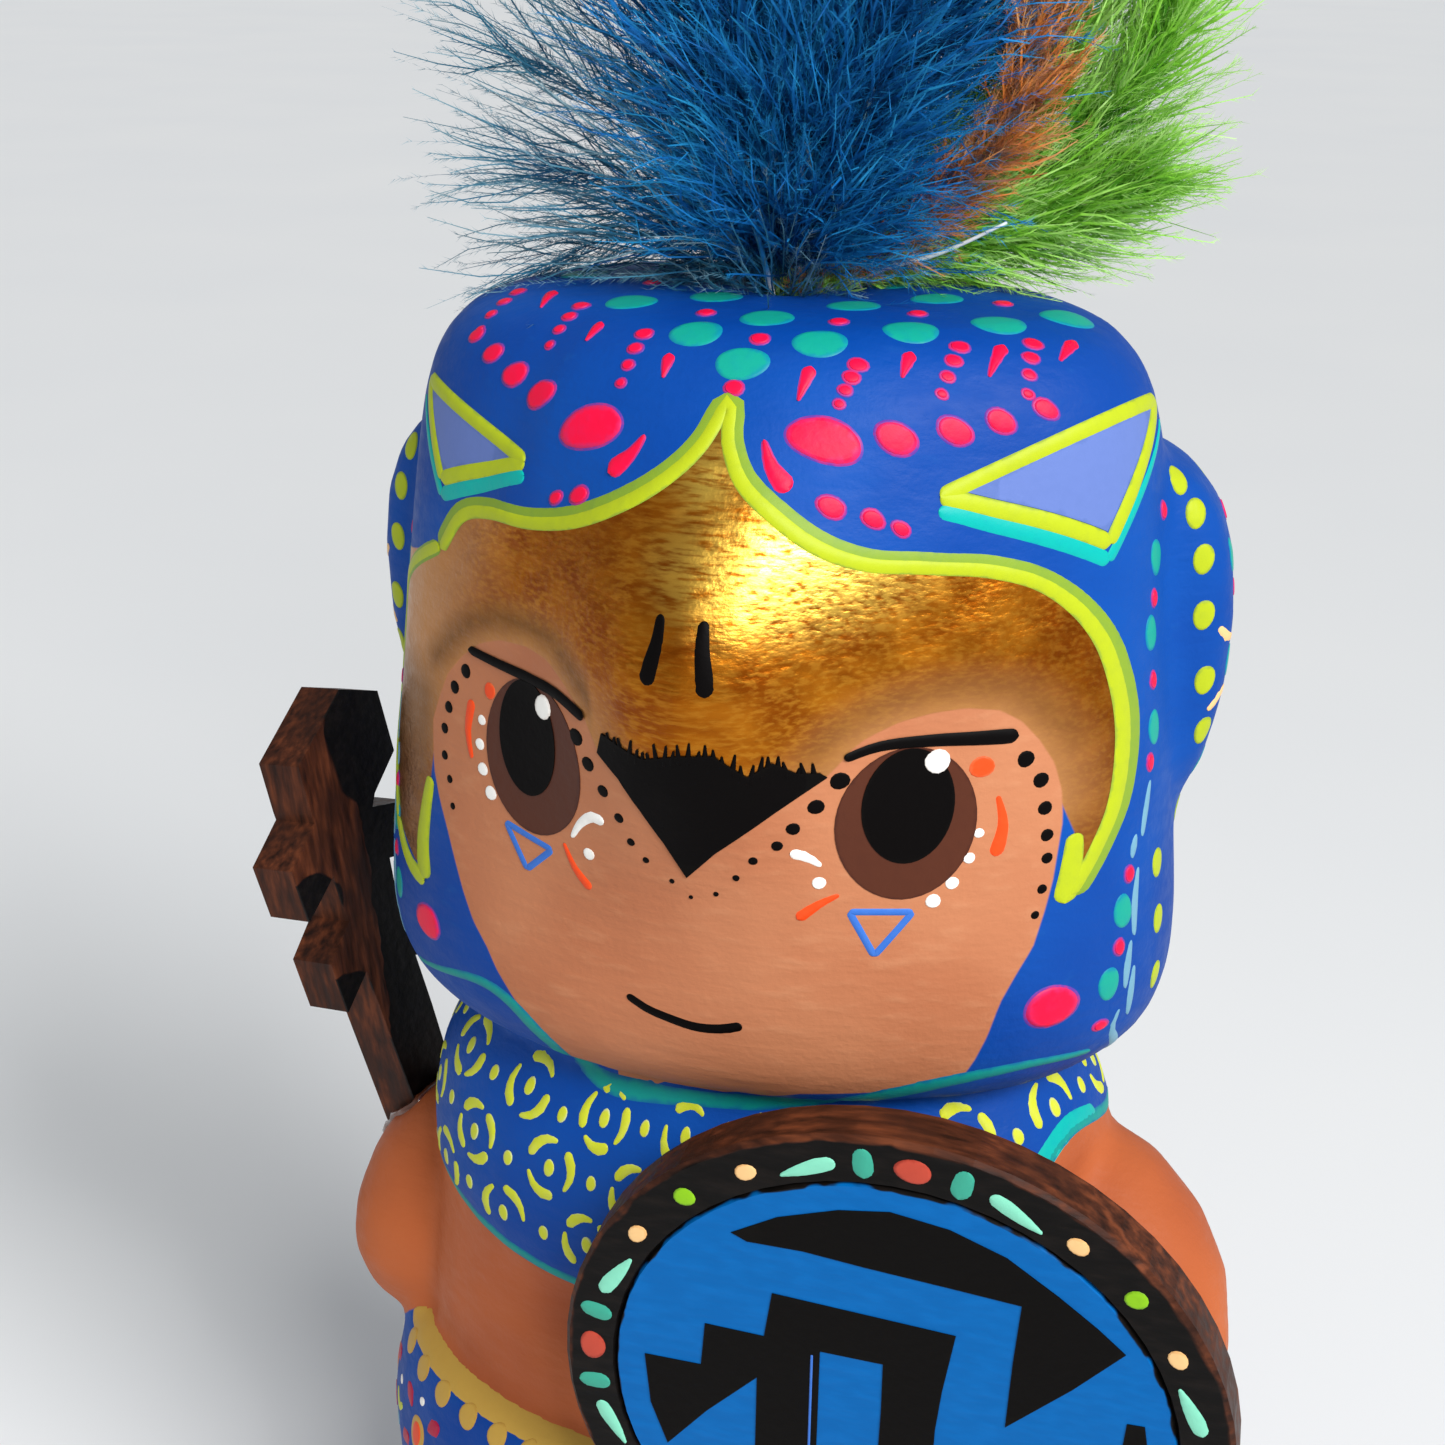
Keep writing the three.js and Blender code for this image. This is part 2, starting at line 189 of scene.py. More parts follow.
def painted_clay():
    """Low-fired clay under brushed acrylics: matt blue, flesh and ochre with faint brush drag, and a
    metallic gold on the brow. A painted highlight glitters on the gold's brush ridges, a painted pale
    reflection lies along its low edge and side, and painted shade round the eye sockets."""
    material, tree, place = new_material("brushed_acrylic_on_clay")
    edge_softness = 0.12
    is_gold = span(tree, attribute(tree, "gold_edge"), -edge_softness, edge_softness)
    is_face = span(tree, attribute(tree, "face_edge"), -edge_softness, edge_softness)
    is_bare = span(tree, attribute(tree, "bare_edge"), -edge_softness, edge_softness)
    is_base = span(tree, attribute(tree, "base_edge"), -edge_softness, edge_softness)
    broad = noise_of(tree, place, 26, 2)
    drag = noise_of(tree, place, 2.4, 4, (0.35, 1, 1.6))
    fine_drag = noise_of(tree, place, 0.45, 3, (0.16, 0.7, 1))
    worn = noise_of(tree, place, 5, 4, (0.6, 1, 1.3))
    pores = noise_of(tree, place, 0.8, 2)
    blue = mixed(tree, span(tree, broad, 0.35, 0.65), linear("#023D90"), linear("#03489D"))
    blue = mixed(tree, span(tree, drag, 0.6, 0.8, 0, 0.3), blue, linear("#14519A"))
    flesh = mixed(tree, span(tree, broad, 0.3, 0.7), linear("#AE6A48"), linear("#B97854"))
    flesh = mixed(tree, span(tree, drag, 0.5, 0.8, 0, 0.4), flesh, linear("#C48863"))
    tawny = mixed(tree, span(tree, broad, 0.3, 0.7), linear("#A4522F"), linear("#BA6236"))
    gold = mixed(tree, span(tree, worn, 0.35, 0.7), linear("#8E4608"), linear("#B86E16"))
    gold = mixed(tree, span(tree, fine_drag, 0.4, 0.7, 0, 0.55), gold, linear("#D08E2C"))
    gold = mixed(tree, span(tree, broad, 0.4, 0.6, 0, 0.45), gold, linear("#7A3604"))
    # Painted highlight: a warm pale gold on the brush ridges where the lamp's reflection sits on the
    # brow.
    flakes = span(tree, fine_drag, 0.28, 0.58)
    shine = maths(tree, "MULTIPLY", attribute(tree, "gold_painted_highlight"), flakes)
    gold = mixed(tree, shine, gold, linear("#F6CE5A"))
    # Painted reflection: a paler, duller gold along the gold's lower edge and on the side.
    gold = mixed(tree, attribute(tree, "gold_painted_reflection"), gold, linear("#B9824E"))
    # Painted shade: a dark brown round the eye sockets and low on the head's right side.
    gold = mixed(tree, attribute(tree, "gold_painted_shade"), gold, linear("#6B4418"))
    base = linear("#173A6B")
    colour = mixed(tree, is_bare, blue, tawny)
    colour = mixed(tree, is_base, colour, base)
    colour = mixed(tree, is_gold, colour, gold)
    colour = mixed(tree, is_face, colour, flesh)
    gold_shows = maths(tree, "MULTIPLY", is_gold, maths(tree, "SUBTRACT", 1.0, is_face))
    # Where the painted pale reflection lies, the gold is also made less metallic.
    metal = maths(tree, "MULTIPLY", gold_shows, span(
        tree, attribute(tree, "gold_painted_reflection"), 0, 1, 0.95, 0.35, "LINEAR"))
    rough = span(tree, gold_shows, 0, 1, 0.52, 0.34, "LINEAR")
    rough = maths(tree, "ADD", rough, span(tree, drag, 0.3, 0.7, -0.05, 0.08))
    ridges = maths(tree, "ADD", maths(tree, "MULTIPLY", drag, 0.7), maths(
        tree, "MULTIPLY", pores, 0.3))
    ridges = maths(tree, "ADD", ridges, maths(
        tree, "MULTIPLY", fine_drag, maths(tree, "MULTIPLY", gold_shows, 0.3)))
    relief = bump(tree, ridges, 0.35, 0.55)
    shader = put(tree, "ShaderNodeBsdfPrincipled", {
        "Base Color": colour, "Metallic": metal, "Roughness": rough, "Normal": relief,
        "IOR": 1.48, "Specular IOR Level": 0.14})
    finish_material(tree, shader)
    return material


def acrylic(name, body, rim, roughness=0.42, rim_start=0.72, specular=0.16):
    """A brush-loaded acrylic mark: satin, full colour in the middle, thinner at its rim."""
    material, tree, place = new_material(name)
    streaks = noise_of(tree, place, 1.3, 3)
    edge = maths(tree, "ADD", attribute(tree, "rim"), span(tree, streaks, 0.3, 0.7, -0.1, 0.1))
    paler = mixed(tree, span(tree, streaks, 0.4, 0.75, 0, 0.16), linear(body), linear(rim))
    colour = mixed(tree, span(tree, edge, rim_start, 1.02), paler, linear(rim))
    relief = bump(tree, streaks, 0.12, 0.5)
    shader = put(tree, "ShaderNodeBsdfPrincipled", {
        "Base Color": colour, "Roughness": roughness, "Normal": relief, "IOR": 1.48,
        "Specular IOR Level": specular})
    finish_material(tree, shader)
    return material


def wood_stain(tree, place, grain_axis):
    """Colour and grain of a sawn board stained walnut brown: straight grain, cloudy stain."""
    stretch = [1.0, 1.0, 1.0]
    stretch[grain_axis] = 0.12
    grain = noise_of(tree, place, 1.1, 5, stretch)
    cloud = noise_of(tree, place, 8, 3)
    colour = ramp(tree, grain, [(0.3, "#24120B"), (0.5, "#4A2617"), (0.7, "#6E3A22")])
    colour = mixed(tree, span(tree, cloud, 0.38, 0.68, 0, 0.75), colour, linear("#2A1812"))
    return colour, grain


def along_axis(tree, place, middle, axis):
    """Millimetres along a direction from a middle point."""
    node = put(tree, "ShaderNodeVectorMath", {0: place, 1: tuple(axis / MM)},
               operation="DOT_PRODUCT")
    return maths(tree, "SUBTRACT", node.outputs["Value"], middle.dot(axis))


def oval_inside(tree, u, v, middle_u, middle_v, half_u, half_v):
    """1 in the middle of an oval, 0 on its edge and less outside."""
    a = maths(tree, "POWER", maths(tree, "DIVIDE", maths(tree, "SUBTRACT", u, middle_u), half_u), 2)
    b = maths(tree, "POWER", maths(tree, "DIVIDE", maths(tree, "SUBTRACT", v, middle_v), half_v), 2)
    return maths(tree, "SUBTRACT", 1.0, maths(tree, "SQRT", maths(tree, "ADD", a, b)))


def painted_wood(name, board, grain_axis, paint):
    """A sawn board stained walnut on its edges, its front brushed with matt acrylic. paint
    gives the paint's colour and where it lies, from the place on the board."""
    material, tree, place = new_material(name)
    colour, grain = wood_stain(tree, place, grain_axis)
    u, v, depth = (along_axis(tree, place, board.middle, axis)
                   for axis in (board.right, board.up, board.out))
    wander = span(tree, noise_of(tree, place, 4.5, 2), 0.3, 0.7, -1, 1)
    drag = noise_of(tree, place, 1.4, 3, (0.4, 1, 1.2))
    coat, covers = paint(tree, u, v, depth, wander, drag)
    colour = mixed(tree, covers, colour, coat)
    relief = bump(tree, mixed(tree, covers, grain, drag), 0.16, 0.45)
    rough = span(tree, grain, 0.3, 0.7, 0.36, 0.52)
    shader = put(tree, "ShaderNodeBsdfPrincipled", {
        "Base Color": colour, "Roughness": rough, "Normal": relief, "IOR": 1.5,
        "Specular IOR Level": 0.08})
    finish_material(tree, shader)
    return material


def black_coat(tree, drag):
    return mixed(tree, span(tree, drag, 0.4, 0.8, 0, 0.6), linear("#0B0908"), linear("#1D1714"))


def shield_paint(tree, u, v, depth, wander, drag):
    """A blue field with a black border round it, the side wall left as wood."""
    radius = maths(tree, "SQRT", maths(tree, "ADD", maths(tree, "POWER", u, 2),
                                       maths(tree, "POWER", v, 2)))
    radius = maths(tree, "ADD", radius, maths(tree, "MULTIPLY", wander, 0.25))
    blue = mixed(tree, span(tree, drag, 0.35, 0.75), linear("#005DA4"), linear("#0263AC"))
    coat = mixed(tree, span(tree, radius, FIELD_RADIUS - 0.12, FIELD_RADIUS + 0.12), blue,
                 black_coat(tree, drag))
    front = span(tree, depth, -1.4, -1.2)
    on_border = span(tree, radius, BORDER_RADIUS - 0.2, BORDER_RADIUS + 0.2, 1, 0)
    covers = maths(tree, "MULTIPLY", front, on_border)
    return coat, covers


def club_paint(tree, u, v, depth, wander, drag):
    """Black on the teeth and the handle, with a wavy bare strip left between them, and half of
    the head's upper end left bare."""
    border = maths(tree, "MINIMUM", maths(tree, "MULTIPLY_ADD", v, 0.26, -9.7), 3.3)
    covers = maths(tree, "SUBTRACT", u, border)
    covers = maths(tree, "ADD", covers, maths(tree, "MULTIPLY", wander, 0.5))
    covers = span(tree, covers, -0.15, 0.15)
    for middle_u, middle_v, half_u, half_v in ((-11, 29.1, 6.6, 5.4), (-11, 44.1, 6.8, 5.6),
                                               (6.4, 59.5, 5.4, 8)):
        lobe = oval_inside(tree, u, v, middle_u, middle_v, half_u, half_v)
        lobe = maths(tree, "ADD", lobe, maths(tree, "MULTIPLY", wander, 0.05))
        covers = maths(tree, "MAXIMUM", covers, span(tree, lobe, -0.03, 0.03))
    upper_end = span(tree, v, 50, 52, 0, 1)
    left_bare = maths(tree, "MULTIPLY", upper_end, span(tree, u, 1, 2, 1, 0))
    covers = maths(tree, "MULTIPLY", covers, maths(tree, "SUBTRACT", 1.0, left_bare))
    covers = maths(tree, "MULTIPLY", covers, span(tree, depth, -0.4, -0.15))
    return black_coat(tree, drag), covers


def dried_glue():
    """A bead of clear glue dried round the club's foot: amber over the clay, wet-looking."""
    material, tree, place = new_material("dried_clear_glue")
    cloud = noise_of(tree, place, 1.5, 2)
    colour = mixed(tree, cloud, linear("#4A2414"), linear("#7A4228"))
    finish_material(tree, put(tree, "ShaderNodeBsdfPrincipled", {
        "Base Color": colour, "Roughness": 0.12, "IOR": 1.47, "Coat Weight": 0.6}))
    return material


def feather_quill():
    """Bare feather quill: pale horn, a little glossy, dyed blue higher up."""
    material, tree, place = new_material("pale_feather_quill")
    streaks = noise_of(tree, place, 0.7, 3, (1, 1, 0.1))
    low = mixed(tree, streaks, linear("#C9CFD0"), linear("#EEF0EC"))
    colour = mixed(tree, span(tree, attribute(tree, "along"), 0.25, 0.5), low, linear("#1B6CA4"))
    finish_material(tree, put(tree, "ShaderNodeBsdfPrincipled", {
        "Base Color": colour, "Roughness": 0.35, "IOR": 1.54}))
    return material


def dyed_down_painted_shade_and_glow(name, root, body, tip):
    """Dyed marabou down, matt: its dyed colour runs darker towards each barb's root, a painted shade
    deep in the mass, and paler towards its end, painted light showing through the thin barbs.
    """
    material, tree, place = new_material(name)
    cloud = noise_of(tree, place, 7, 2)
    along = maths(tree, "ADD", attribute(tree, "along"), span(tree, cloud, 0.3, 0.7, -0.18, 0.18))
    colour = ramp(tree, along, [(0.05, root), (0.5, body), (0.98, tip)])
    shader = put(tree, "ShaderNodeBsdfPrincipled", {
        "Base Color": colour, "Roughness": 0.62, "IOR": 1.45, "Specular IOR Level": 0.25})
    finish_material(tree, shader)
    return material


# Meshes

def add_values(mesh, values):
    """Numbers for each point of a mesh, which its material reads by their label."""
    for label, numbers in values.items():
        layer = mesh.attributes.new(label, "FLOAT", "POINT")
        layer.data.foreach_set("value", np.asarray(numbers, dtype=np.float32))


def new_piece(name, points, faces, material, values=None, smooth=True):
    """A mesh piece from points in millimetres, riding on the figure."""
    mesh = bpy.data.meshes.new(name)
    mesh.from_pydata(np.array([tuple(p) for p in points]) * MM, [], faces)
    mesh.materials.append(material)
    add_values(mesh, values or {})
    if smooth:
        mesh.polygons.foreach_set("use_smooth", [True] * len(mesh.polygons))
    mesh.update()
    piece = bpy.data.objects.new(name, mesh)
    bpy.context.scene.collection.objects.link(piece)
    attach(piece, "root")
    return piece


def smooth_line(points, closed=False, step=STEP_ALONG_STROKE):
    """A Catmull-Rom curve through the points, as points about one step apart."""
    ends = [Vector(p) for p in points]
    if len(ends) == 2:
        ends.insert(1, (ends[0] + ends[1]) / 2)
    count = len(ends)
    line = []
    for k in range(count if closed else count - 1):
        if closed:
            a, b, c, d = (ends[(k + i - 1) % count] for i in range(4))
        else:
            a, b, c, d = (ends[min(max(k + i - 1, 0), count - 1)] for i in range(4))
        pieces = max(1, round((c - b).length / step))
        for i in range(pieces):
            t = i / pieces
            line.append(0.5 * (2 * b + (c - a) * t + (2 * a - 5 * b + 4 * c - d) * t ** 2
                               + (3 * b - a - 3 * c + d) * t ** 3))
    if not closed:
        line.append(ends[-1])
    return line


def edge_distance(xs, zs, outline):
    """How far points lie inside a closed outline, negative outside it."""
    px = np.asarray(xs)[:, None]
    pz = np.asarray(zs)[:, None]
    a = np.array([tuple(p) for p in outline])
    b = np.roll(a, -1, axis=0)
    ax, az, bx, bz = a[:, 0], a[:, 1], b[:, 0], b[:, 1]
    ex, ez = bx - ax, bz - az
    t = ((px - ax) * ex + (pz - az) * ez) / np.maximum(ex ** 2 + ez ** 2, 1e-9)
    t = np.clip(t, 0, 1)
    gap = np.hypot(px - ax - t * ex, pz - az - t * ez).min(axis=1)
    crosses = ((az > pz) != (bz > pz)) & (px < ex * (pz - az) / np.where(ez == 0, 1e-9, ez) + ax)
    return np.where(crosses.sum(axis=1) % 2 == 1, gap, -gap)


# Places read on the photograph, in its pixels: x to the right, y down

FACE_PIXELS = [
    (867, 738), (900, 722), (933, 713), (967, 708), (1000, 710), (1022, 721), (1040, 740),
    (1055, 763), (1062, 790), (1063, 820), (1058, 850), (1053, 880), (1045, 910), (1033, 947),
    (1017, 973), (1000, 1003), (987, 1037), (973, 1063), (957, 1083), (923, 1090), (880, 1092),
    (800, 1094), (723, 1092), (680, 1088), (630, 1079), (590, 1065), (563, 1049), (540, 1030),
    (513, 997), (497, 970), (487, 947), (473, 920), (463, 890), (455, 860), (447, 827), (440, 800),
    (434, 767), (433, 720), (440, 695), (448, 673), (462, 656), (480, 643), (500, 640), (527, 647),
    (547, 660), (563, 683), (575, 703)]
BEAK_EDGE_PIXELS = [(584, 718), (598, 752), (619, 778), (640, 809), (664, 842), (687, 877),
                    (715, 853), (745, 833), (775, 812), (800, 795), (827, 777), (844, 759),
                    (851, 750)]
BEAK_TOP_PIXELS = [(820, 773), (796, 773), (772, 763), (747, 777), (713, 756), (678, 756),
                   (643, 759), (602, 733)]
BROW_LEFT_PIXELS = [(440, 545), (460, 512), (490, 508), (530, 518), (575, 516), (630, 495),
                    (672, 468), (700, 440), (719, 408)]
BROW_TIP_PIXEL = (727, 402)
BROW_RIGHT_PIXELS = [(735, 408), (733, 440), (745, 478), (775, 510), (820, 543), (870, 560),
                     (930, 563), (990, 566), (1040, 578), (1080, 604), (1108, 640), (1124, 690),
                     (1128, 740), (1120, 800), (1100, 850), (1075, 895)]
BROW_LEFT_INSIDE_PIXEL = (440, 700)
BROW_LEFT_HOOK_PIXELS = [(431, 777), (426, 810), (423, 845), (425, 878)]
BROW_LEFT_FOOT_PIXELS = [(399, 815), (404, 843), (412, 865), (425, 880)]
BROW_RIGHT_HOOK_PIXELS = [(1075, 833), (1073, 855), (1069, 880), (1064, 903)]
LEFT_IRIS_PIXEL, LEFT_PUPIL_PIXEL, LEFT_GLINT_PIXEL = (533, 758), (528, 738), (544, 707)
RIGHT_IRIS_PIXEL, RIGHT_PUPIL_PIXEL, RIGHT_GLINT_PIXEL = (906, 824), (908, 806), (937, 761)
LEFT_LID_PIXELS = [(584, 718), (556, 693), (530, 678), (500, 664), (470, 649)]
RIGHT_LID_PIXELS = [(844, 759), (880, 746), (934, 740), (975, 738), (1018, 735)]
LEFT_TEMPLE_DOT_PIXELS = [(466, 671), (455, 687), (449, 707), (445, 728), (445, 755), (450, 779),
                          (453, 806)]
RIGHT_TEMPLE_DOT_PIXELS = [(1026, 759), (1041, 780), (1045, 808), (1047, 835), (1047, 858),
                           (1042, 889), (1035, 915)]
BEAK_CHAIN_PIXELS = [(576, 737), (588, 764), (603, 791), (619, 818), (631, 842), (646, 860),
                     (672, 881), (691, 897), (716, 894), (736, 878), (753, 861), (777, 846),
                     (793, 829), (816, 807), (840, 781)]
LEFT_WHITE_PIXELS = [(482, 720), (480, 744), (483, 769), (491, 793)]
RIGHT_WHITE_PIXELS = [(979, 833), (969, 858), (952, 883), (933, 901)]
LEFT_COMMA_PIXELS = [(572, 837), (580, 824), (592, 817), (604, 823)]
RIGHT_COMMA_PIXELS = [(821, 866), (812, 860), (803, 856), (790, 853)]
WHITE_DROP_PIXELS = [(589, 854), (819, 883)]
LEFT_OUTER_ORANGE_PIXELS = [(472, 700), (468, 730), (472, 758)]
LEFT_INNER_ORANGE_PIXELS = [(564, 843), (575, 868), (591, 889)]
RIGHT_INNER_ORANGE_PIXELS = [(839, 895), (818, 905), (797, 919)]
RIGHT_OUTER_ORANGE_PIXELS = [(998, 796), (1003, 825), (995, 856)]
LEFT_ORANGE_DOT_PIXEL, RIGHT_ORANGE_DOT_PIXEL = (490, 691), (982, 767)
CHEEK_TRIANGLE_PIXELS = [[(506, 822), (552, 850), (527, 869)], [(849, 912), (913, 912), (874, 956)]]
MOUTH_PIXELS = [(627, 995), (640, 1004), (654, 1012), (692, 1026), (720, 1029), (742, 1026)]
LEFT_NOSTRIL_PIXELS = [(661, 614), (657, 640), (650, 665), (645, 685)]
RIGHT_NOSTRIL_PIXELS = [(704, 621), (702, 650), (704, 680), (705, 698)]
CROWN_OVAL_PIXELS = [(585, 274), (631, 302), (716, 297), (696, 333), (767, 318), (820, 343),
                     (742, 363), (854, 306), (911, 331), (937, 299), (999, 324), (1067, 318),
                     (890, 284)]
CROWN_DOT_PIXELS = [(653, 283), (706, 313), (760, 339), (734, 388), (839, 322), (918, 314),
                    (1003, 304)]
CROWN_LARGE_PIXELS = [(591, 427), (824, 440)]
CROWN_RIGHT_ROW_PIXELS = [(896, 438), (955, 431), (1001, 421), (1046, 409)]
CROWN_LEFT_ROW_PIXELS = [(541, 394), (515, 374), (493, 353), (477, 335)]
CROWN_LOW_PIXELS = [(556, 498), (579, 495), (831, 507), (873, 519), (901, 529)]
CROWN_CRESCENT_PIXELS = [[(645, 435), (630, 455), (609, 473)], [(764, 440), (771, 466), (789, 491)]]
CROWN_COMET_PIXELS = [[(670, 354), (663, 378)], [(602, 323), (586, 341)], [(554, 292), (541, 308)],
                      [(811, 367), (798, 401)], [(911, 353), (902, 378)], [(1003, 346), (989, 377)],
                      [(1074, 342), (1060, 361)]]
CROWN_CHAIN_PIXELS = [[(644, 334), (621, 383)], [(581, 306), (550, 345)], [(518, 292), (480, 330)],
                      [(858, 365), (839, 404)], [(960, 347), (942, 394)], [(1033, 344), (1028, 394)]]
RIGHT_TRIANGLE_PIXELS = [(940, 497), (1154, 400), (1110, 543)]
LEFT_TRIANGLE_PIXELS = [(525, 462), (432, 378), (442, 478)]
MANE_RIM_PIXELS = [(1178, 479), (1196, 513), (1204, 559), (1204, 615), (1205, 680), (1203, 730),
                   (1193, 775), (1180, 808), (1157, 862), (1158, 918), (1155, 974)]
SIDE_CHAIN_PIXELS = [[(1163, 510), (1156, 557), (1154, 598), (1151, 633), (1153, 680), (1154, 727),
                      (1150, 762)],
                     [(1129, 874), (1123, 911), (1119, 947), (1109, 984)]]
CHEEK_DOT_PIXELS = [(428, 921), (1051, 1007)]
SMALL_CHEEK_DOT_PIXEL = (1100, 1025)
SIDE_LENS_PIXELS = [[(1150, 780), (1146, 808), (1142, 836)], [(1136, 834), (1132, 858)],
                    [(1138, 867), (1135, 900), (1134, 935)], [(1131, 940), (1128, 962), (1125, 988)],
                    [(1134, 965), (1131, 990), (1127, 1014)],
                    [(1119, 1009), (1112, 1032), (1101, 1051)]]
CHIN_PIXELS = [(420, 957), (470, 977), (507, 999), (547, 1040), (597, 1074), (680, 1096),
               (800, 1100), (900, 1092), (960, 1079), (1030, 1064), (1090, 1050)]
FRET_CRESCENT_PIXELS = [(731, 1232), (777, 1217), (838, 1210), (890, 1212), (950, 1230),
                        (1007, 1258), (1059, 1297), (1098, 1329), (1126, 1355), (1072, 1390),
                        (1005, 1427), (1013, 1362), (1022, 1306), (950, 1288), (864, 1267),
                        (803, 1251), (747, 1241)]
FRET_UPPER_STEP_PIXELS = [(645, 1353), (701, 1364), (705, 1323), (764, 1336), (772, 1293),
                          (956, 1336), (942, 1392), (935, 1430)]
FRET_INNER_PIXELS = [(881, 1410), (883, 1364), (820, 1351), (817, 1430)]
FRET_WEDGE_PIXELS = [(757, 1377), (707, 1410), (668, 1442), (651, 1401)]
FRET_RIGHT_STEP_PIXELS = [(1123, 1444), (1127, 1424), (1145, 1427), (1147, 1444)]


def camera_axes():
    """The camera's right, up and backward directions."""
    a, e, roll = (math.radians(d) for d in (CAMERA_AZIMUTH, CAMERA_ELEVATION, CAMERA_ROLL))
    back = Vector((math.sin(a) * math.cos(e), -math.cos(a) * math.cos(e), math.sin(e)))
    level = Vector((math.cos(a), math.sin(a), 0))
    upright = back.cross(level)
    right = level * math.cos(roll) + upright * math.sin(roll)
    up = upright * math.cos(roll) - level * math.sin(roll)
    return right, up, back


def photo_ray(x, y):
    """The camera's ray through a pixel of the photograph: its start and its direction."""
    right, up, back = camera_axes()
    centre = PHOTO_SIDE / 2
    way = (right * (x - centre) - up * (y - centre)) / FOCAL_LENGTH_PIXELS - back
    return AIM_POINT + back * CAMERA_DISTANCE, way.normalized()


def seen_on_skin(x, y):
    """The place on the skin that a pixel shows, or the nearest one where it just misses."""
    start, way = photo_ray(x, y)
    spot = skin_tree.ray_cast(start, way)[0]
    if spot is None:
        spot = skin_tree.find_nearest(start + way * CAMERA_DISTANCE)[0]
    return spot


# The clay skin

def clay_skin():
    """The clay figure as one skin of even small faces, so that its form is round and thumbed."""
    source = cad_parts["clay_figure"]
    rough = bpy.data.objects.new("clay_rough", source.data.copy())
    bpy.context.scene.collection.objects.link(rough)
    remesh = rough.modifiers.new("even_faces", "REMESH")
    remesh.mode = "VOXEL"
    remesh.voxel_size = SKIN_VOXEL * MM
    soften = rough.modifiers.new("thumbed", "SMOOTH")
    soften.factor = 0.5
    soften.iterations = 9
    evaluated = rough.evaluated_get(bpy.context.evaluated_depsgraph_get())
    mesh = bpy.data.meshes.new_from_object(evaluated)
    bpy.data.objects.remove(rough)
    count = len(mesh.vertices)
    places = np.empty(count * 3)
    mesh.vertices.foreach_get("co", places)
    places = places.reshape(-1, 3) / MM
    normals = np.empty(count * 3)
    mesh.vertices.foreach_get("normal", normals)
    normals = normals.reshape(-1, 3)
    lump_size = 17
    lump_height = 0.22
    lumps = np.array([noise.noise(Vector(p) / lump_size) for p in places])
    standing = np.clip((places[:, 2] - 9) / 4, 0, 1)
    places += normals * (lumps * lump_height * standing)[:, None]
    mesh.vertices.foreach_set("co", (places * MM).ravel())
    mesh.update()
    mesh.materials.clear()
    mesh.materials.append(painted_clay())
    mesh.polygons.foreach_set("material_index", [0] * len(mesh.polygons))
    mesh.polygons.foreach_set("use_smooth", [True] * len(mesh.polygons))
    mesh.name = "clay_body"
    piece = bpy.data.objects.new("clay_body", mesh)
    bpy.context.scene.collection.objects.link(piece)
    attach(piece, "root")
    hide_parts("clay_figure")
    tree = BVHTree.FromPolygons([tuple(p) for p in places],
                                [tuple(f.vertices) for f in mesh.polygons])
    return piece, tree, places


def cape_hem(angle):
    """Height of the cape's lower edge round the trunk, highest at the figure's left shoulder."""
    shoulder = np.exp(-((angle - SHOULDER_ANGLE) / 0.3) ** 2)
    return -65 - 6.5 * np.cos(angle) + 9 * np.maximum(0, np.sin(angle)) ** 2 + 7 * shoulder


def outside_limb(places, path, radii):
    """How far each place is outside a round limb along a path."""
    best = np.full(len(places), 1e9)
    fine = smooth_line([Vector(p) for p in path], step=1.5)
    marks = np.linspace(0, len(radii) - 1, len(fine))
    widths = np.interp(marks, range(len(radii)), radii)
    for point, width in zip(fine, widths):
        gap = np.linalg.norm(places - np.array(point)[None], axis=1) - width
        best = np.minimum(best, gap)
    return best


def gold_outline():
    """The gold's outline from the front. On the figure's right it runs past the corner, where
    GOLD_SIDE_EDGE ends it out of the camera's sight, and below it lies under the face's paint."""
    line = front.seen(BROW_LEFT_PIXELS + [BROW_TIP_PIXEL] + BROW_RIGHT_PIXELS)
    past_corner = [(-38, -23), (-48, -16), (-50, 0), (-48, 10)]
    hook = front.seen([BROW_RIGHT_HOOK_PIXELS[0]])
    under_face = [(36, -4), (30, 0), (0, -6), (-30, 0)]
    strip = front.seen([BROW_LEFT_INSIDE_PIXEL, BROW_LEFT_HOOK_PIXELS[0], BROW_LEFT_HOOK_PIXELS[2]])
    return past_corner + line + hook + under_face + strip


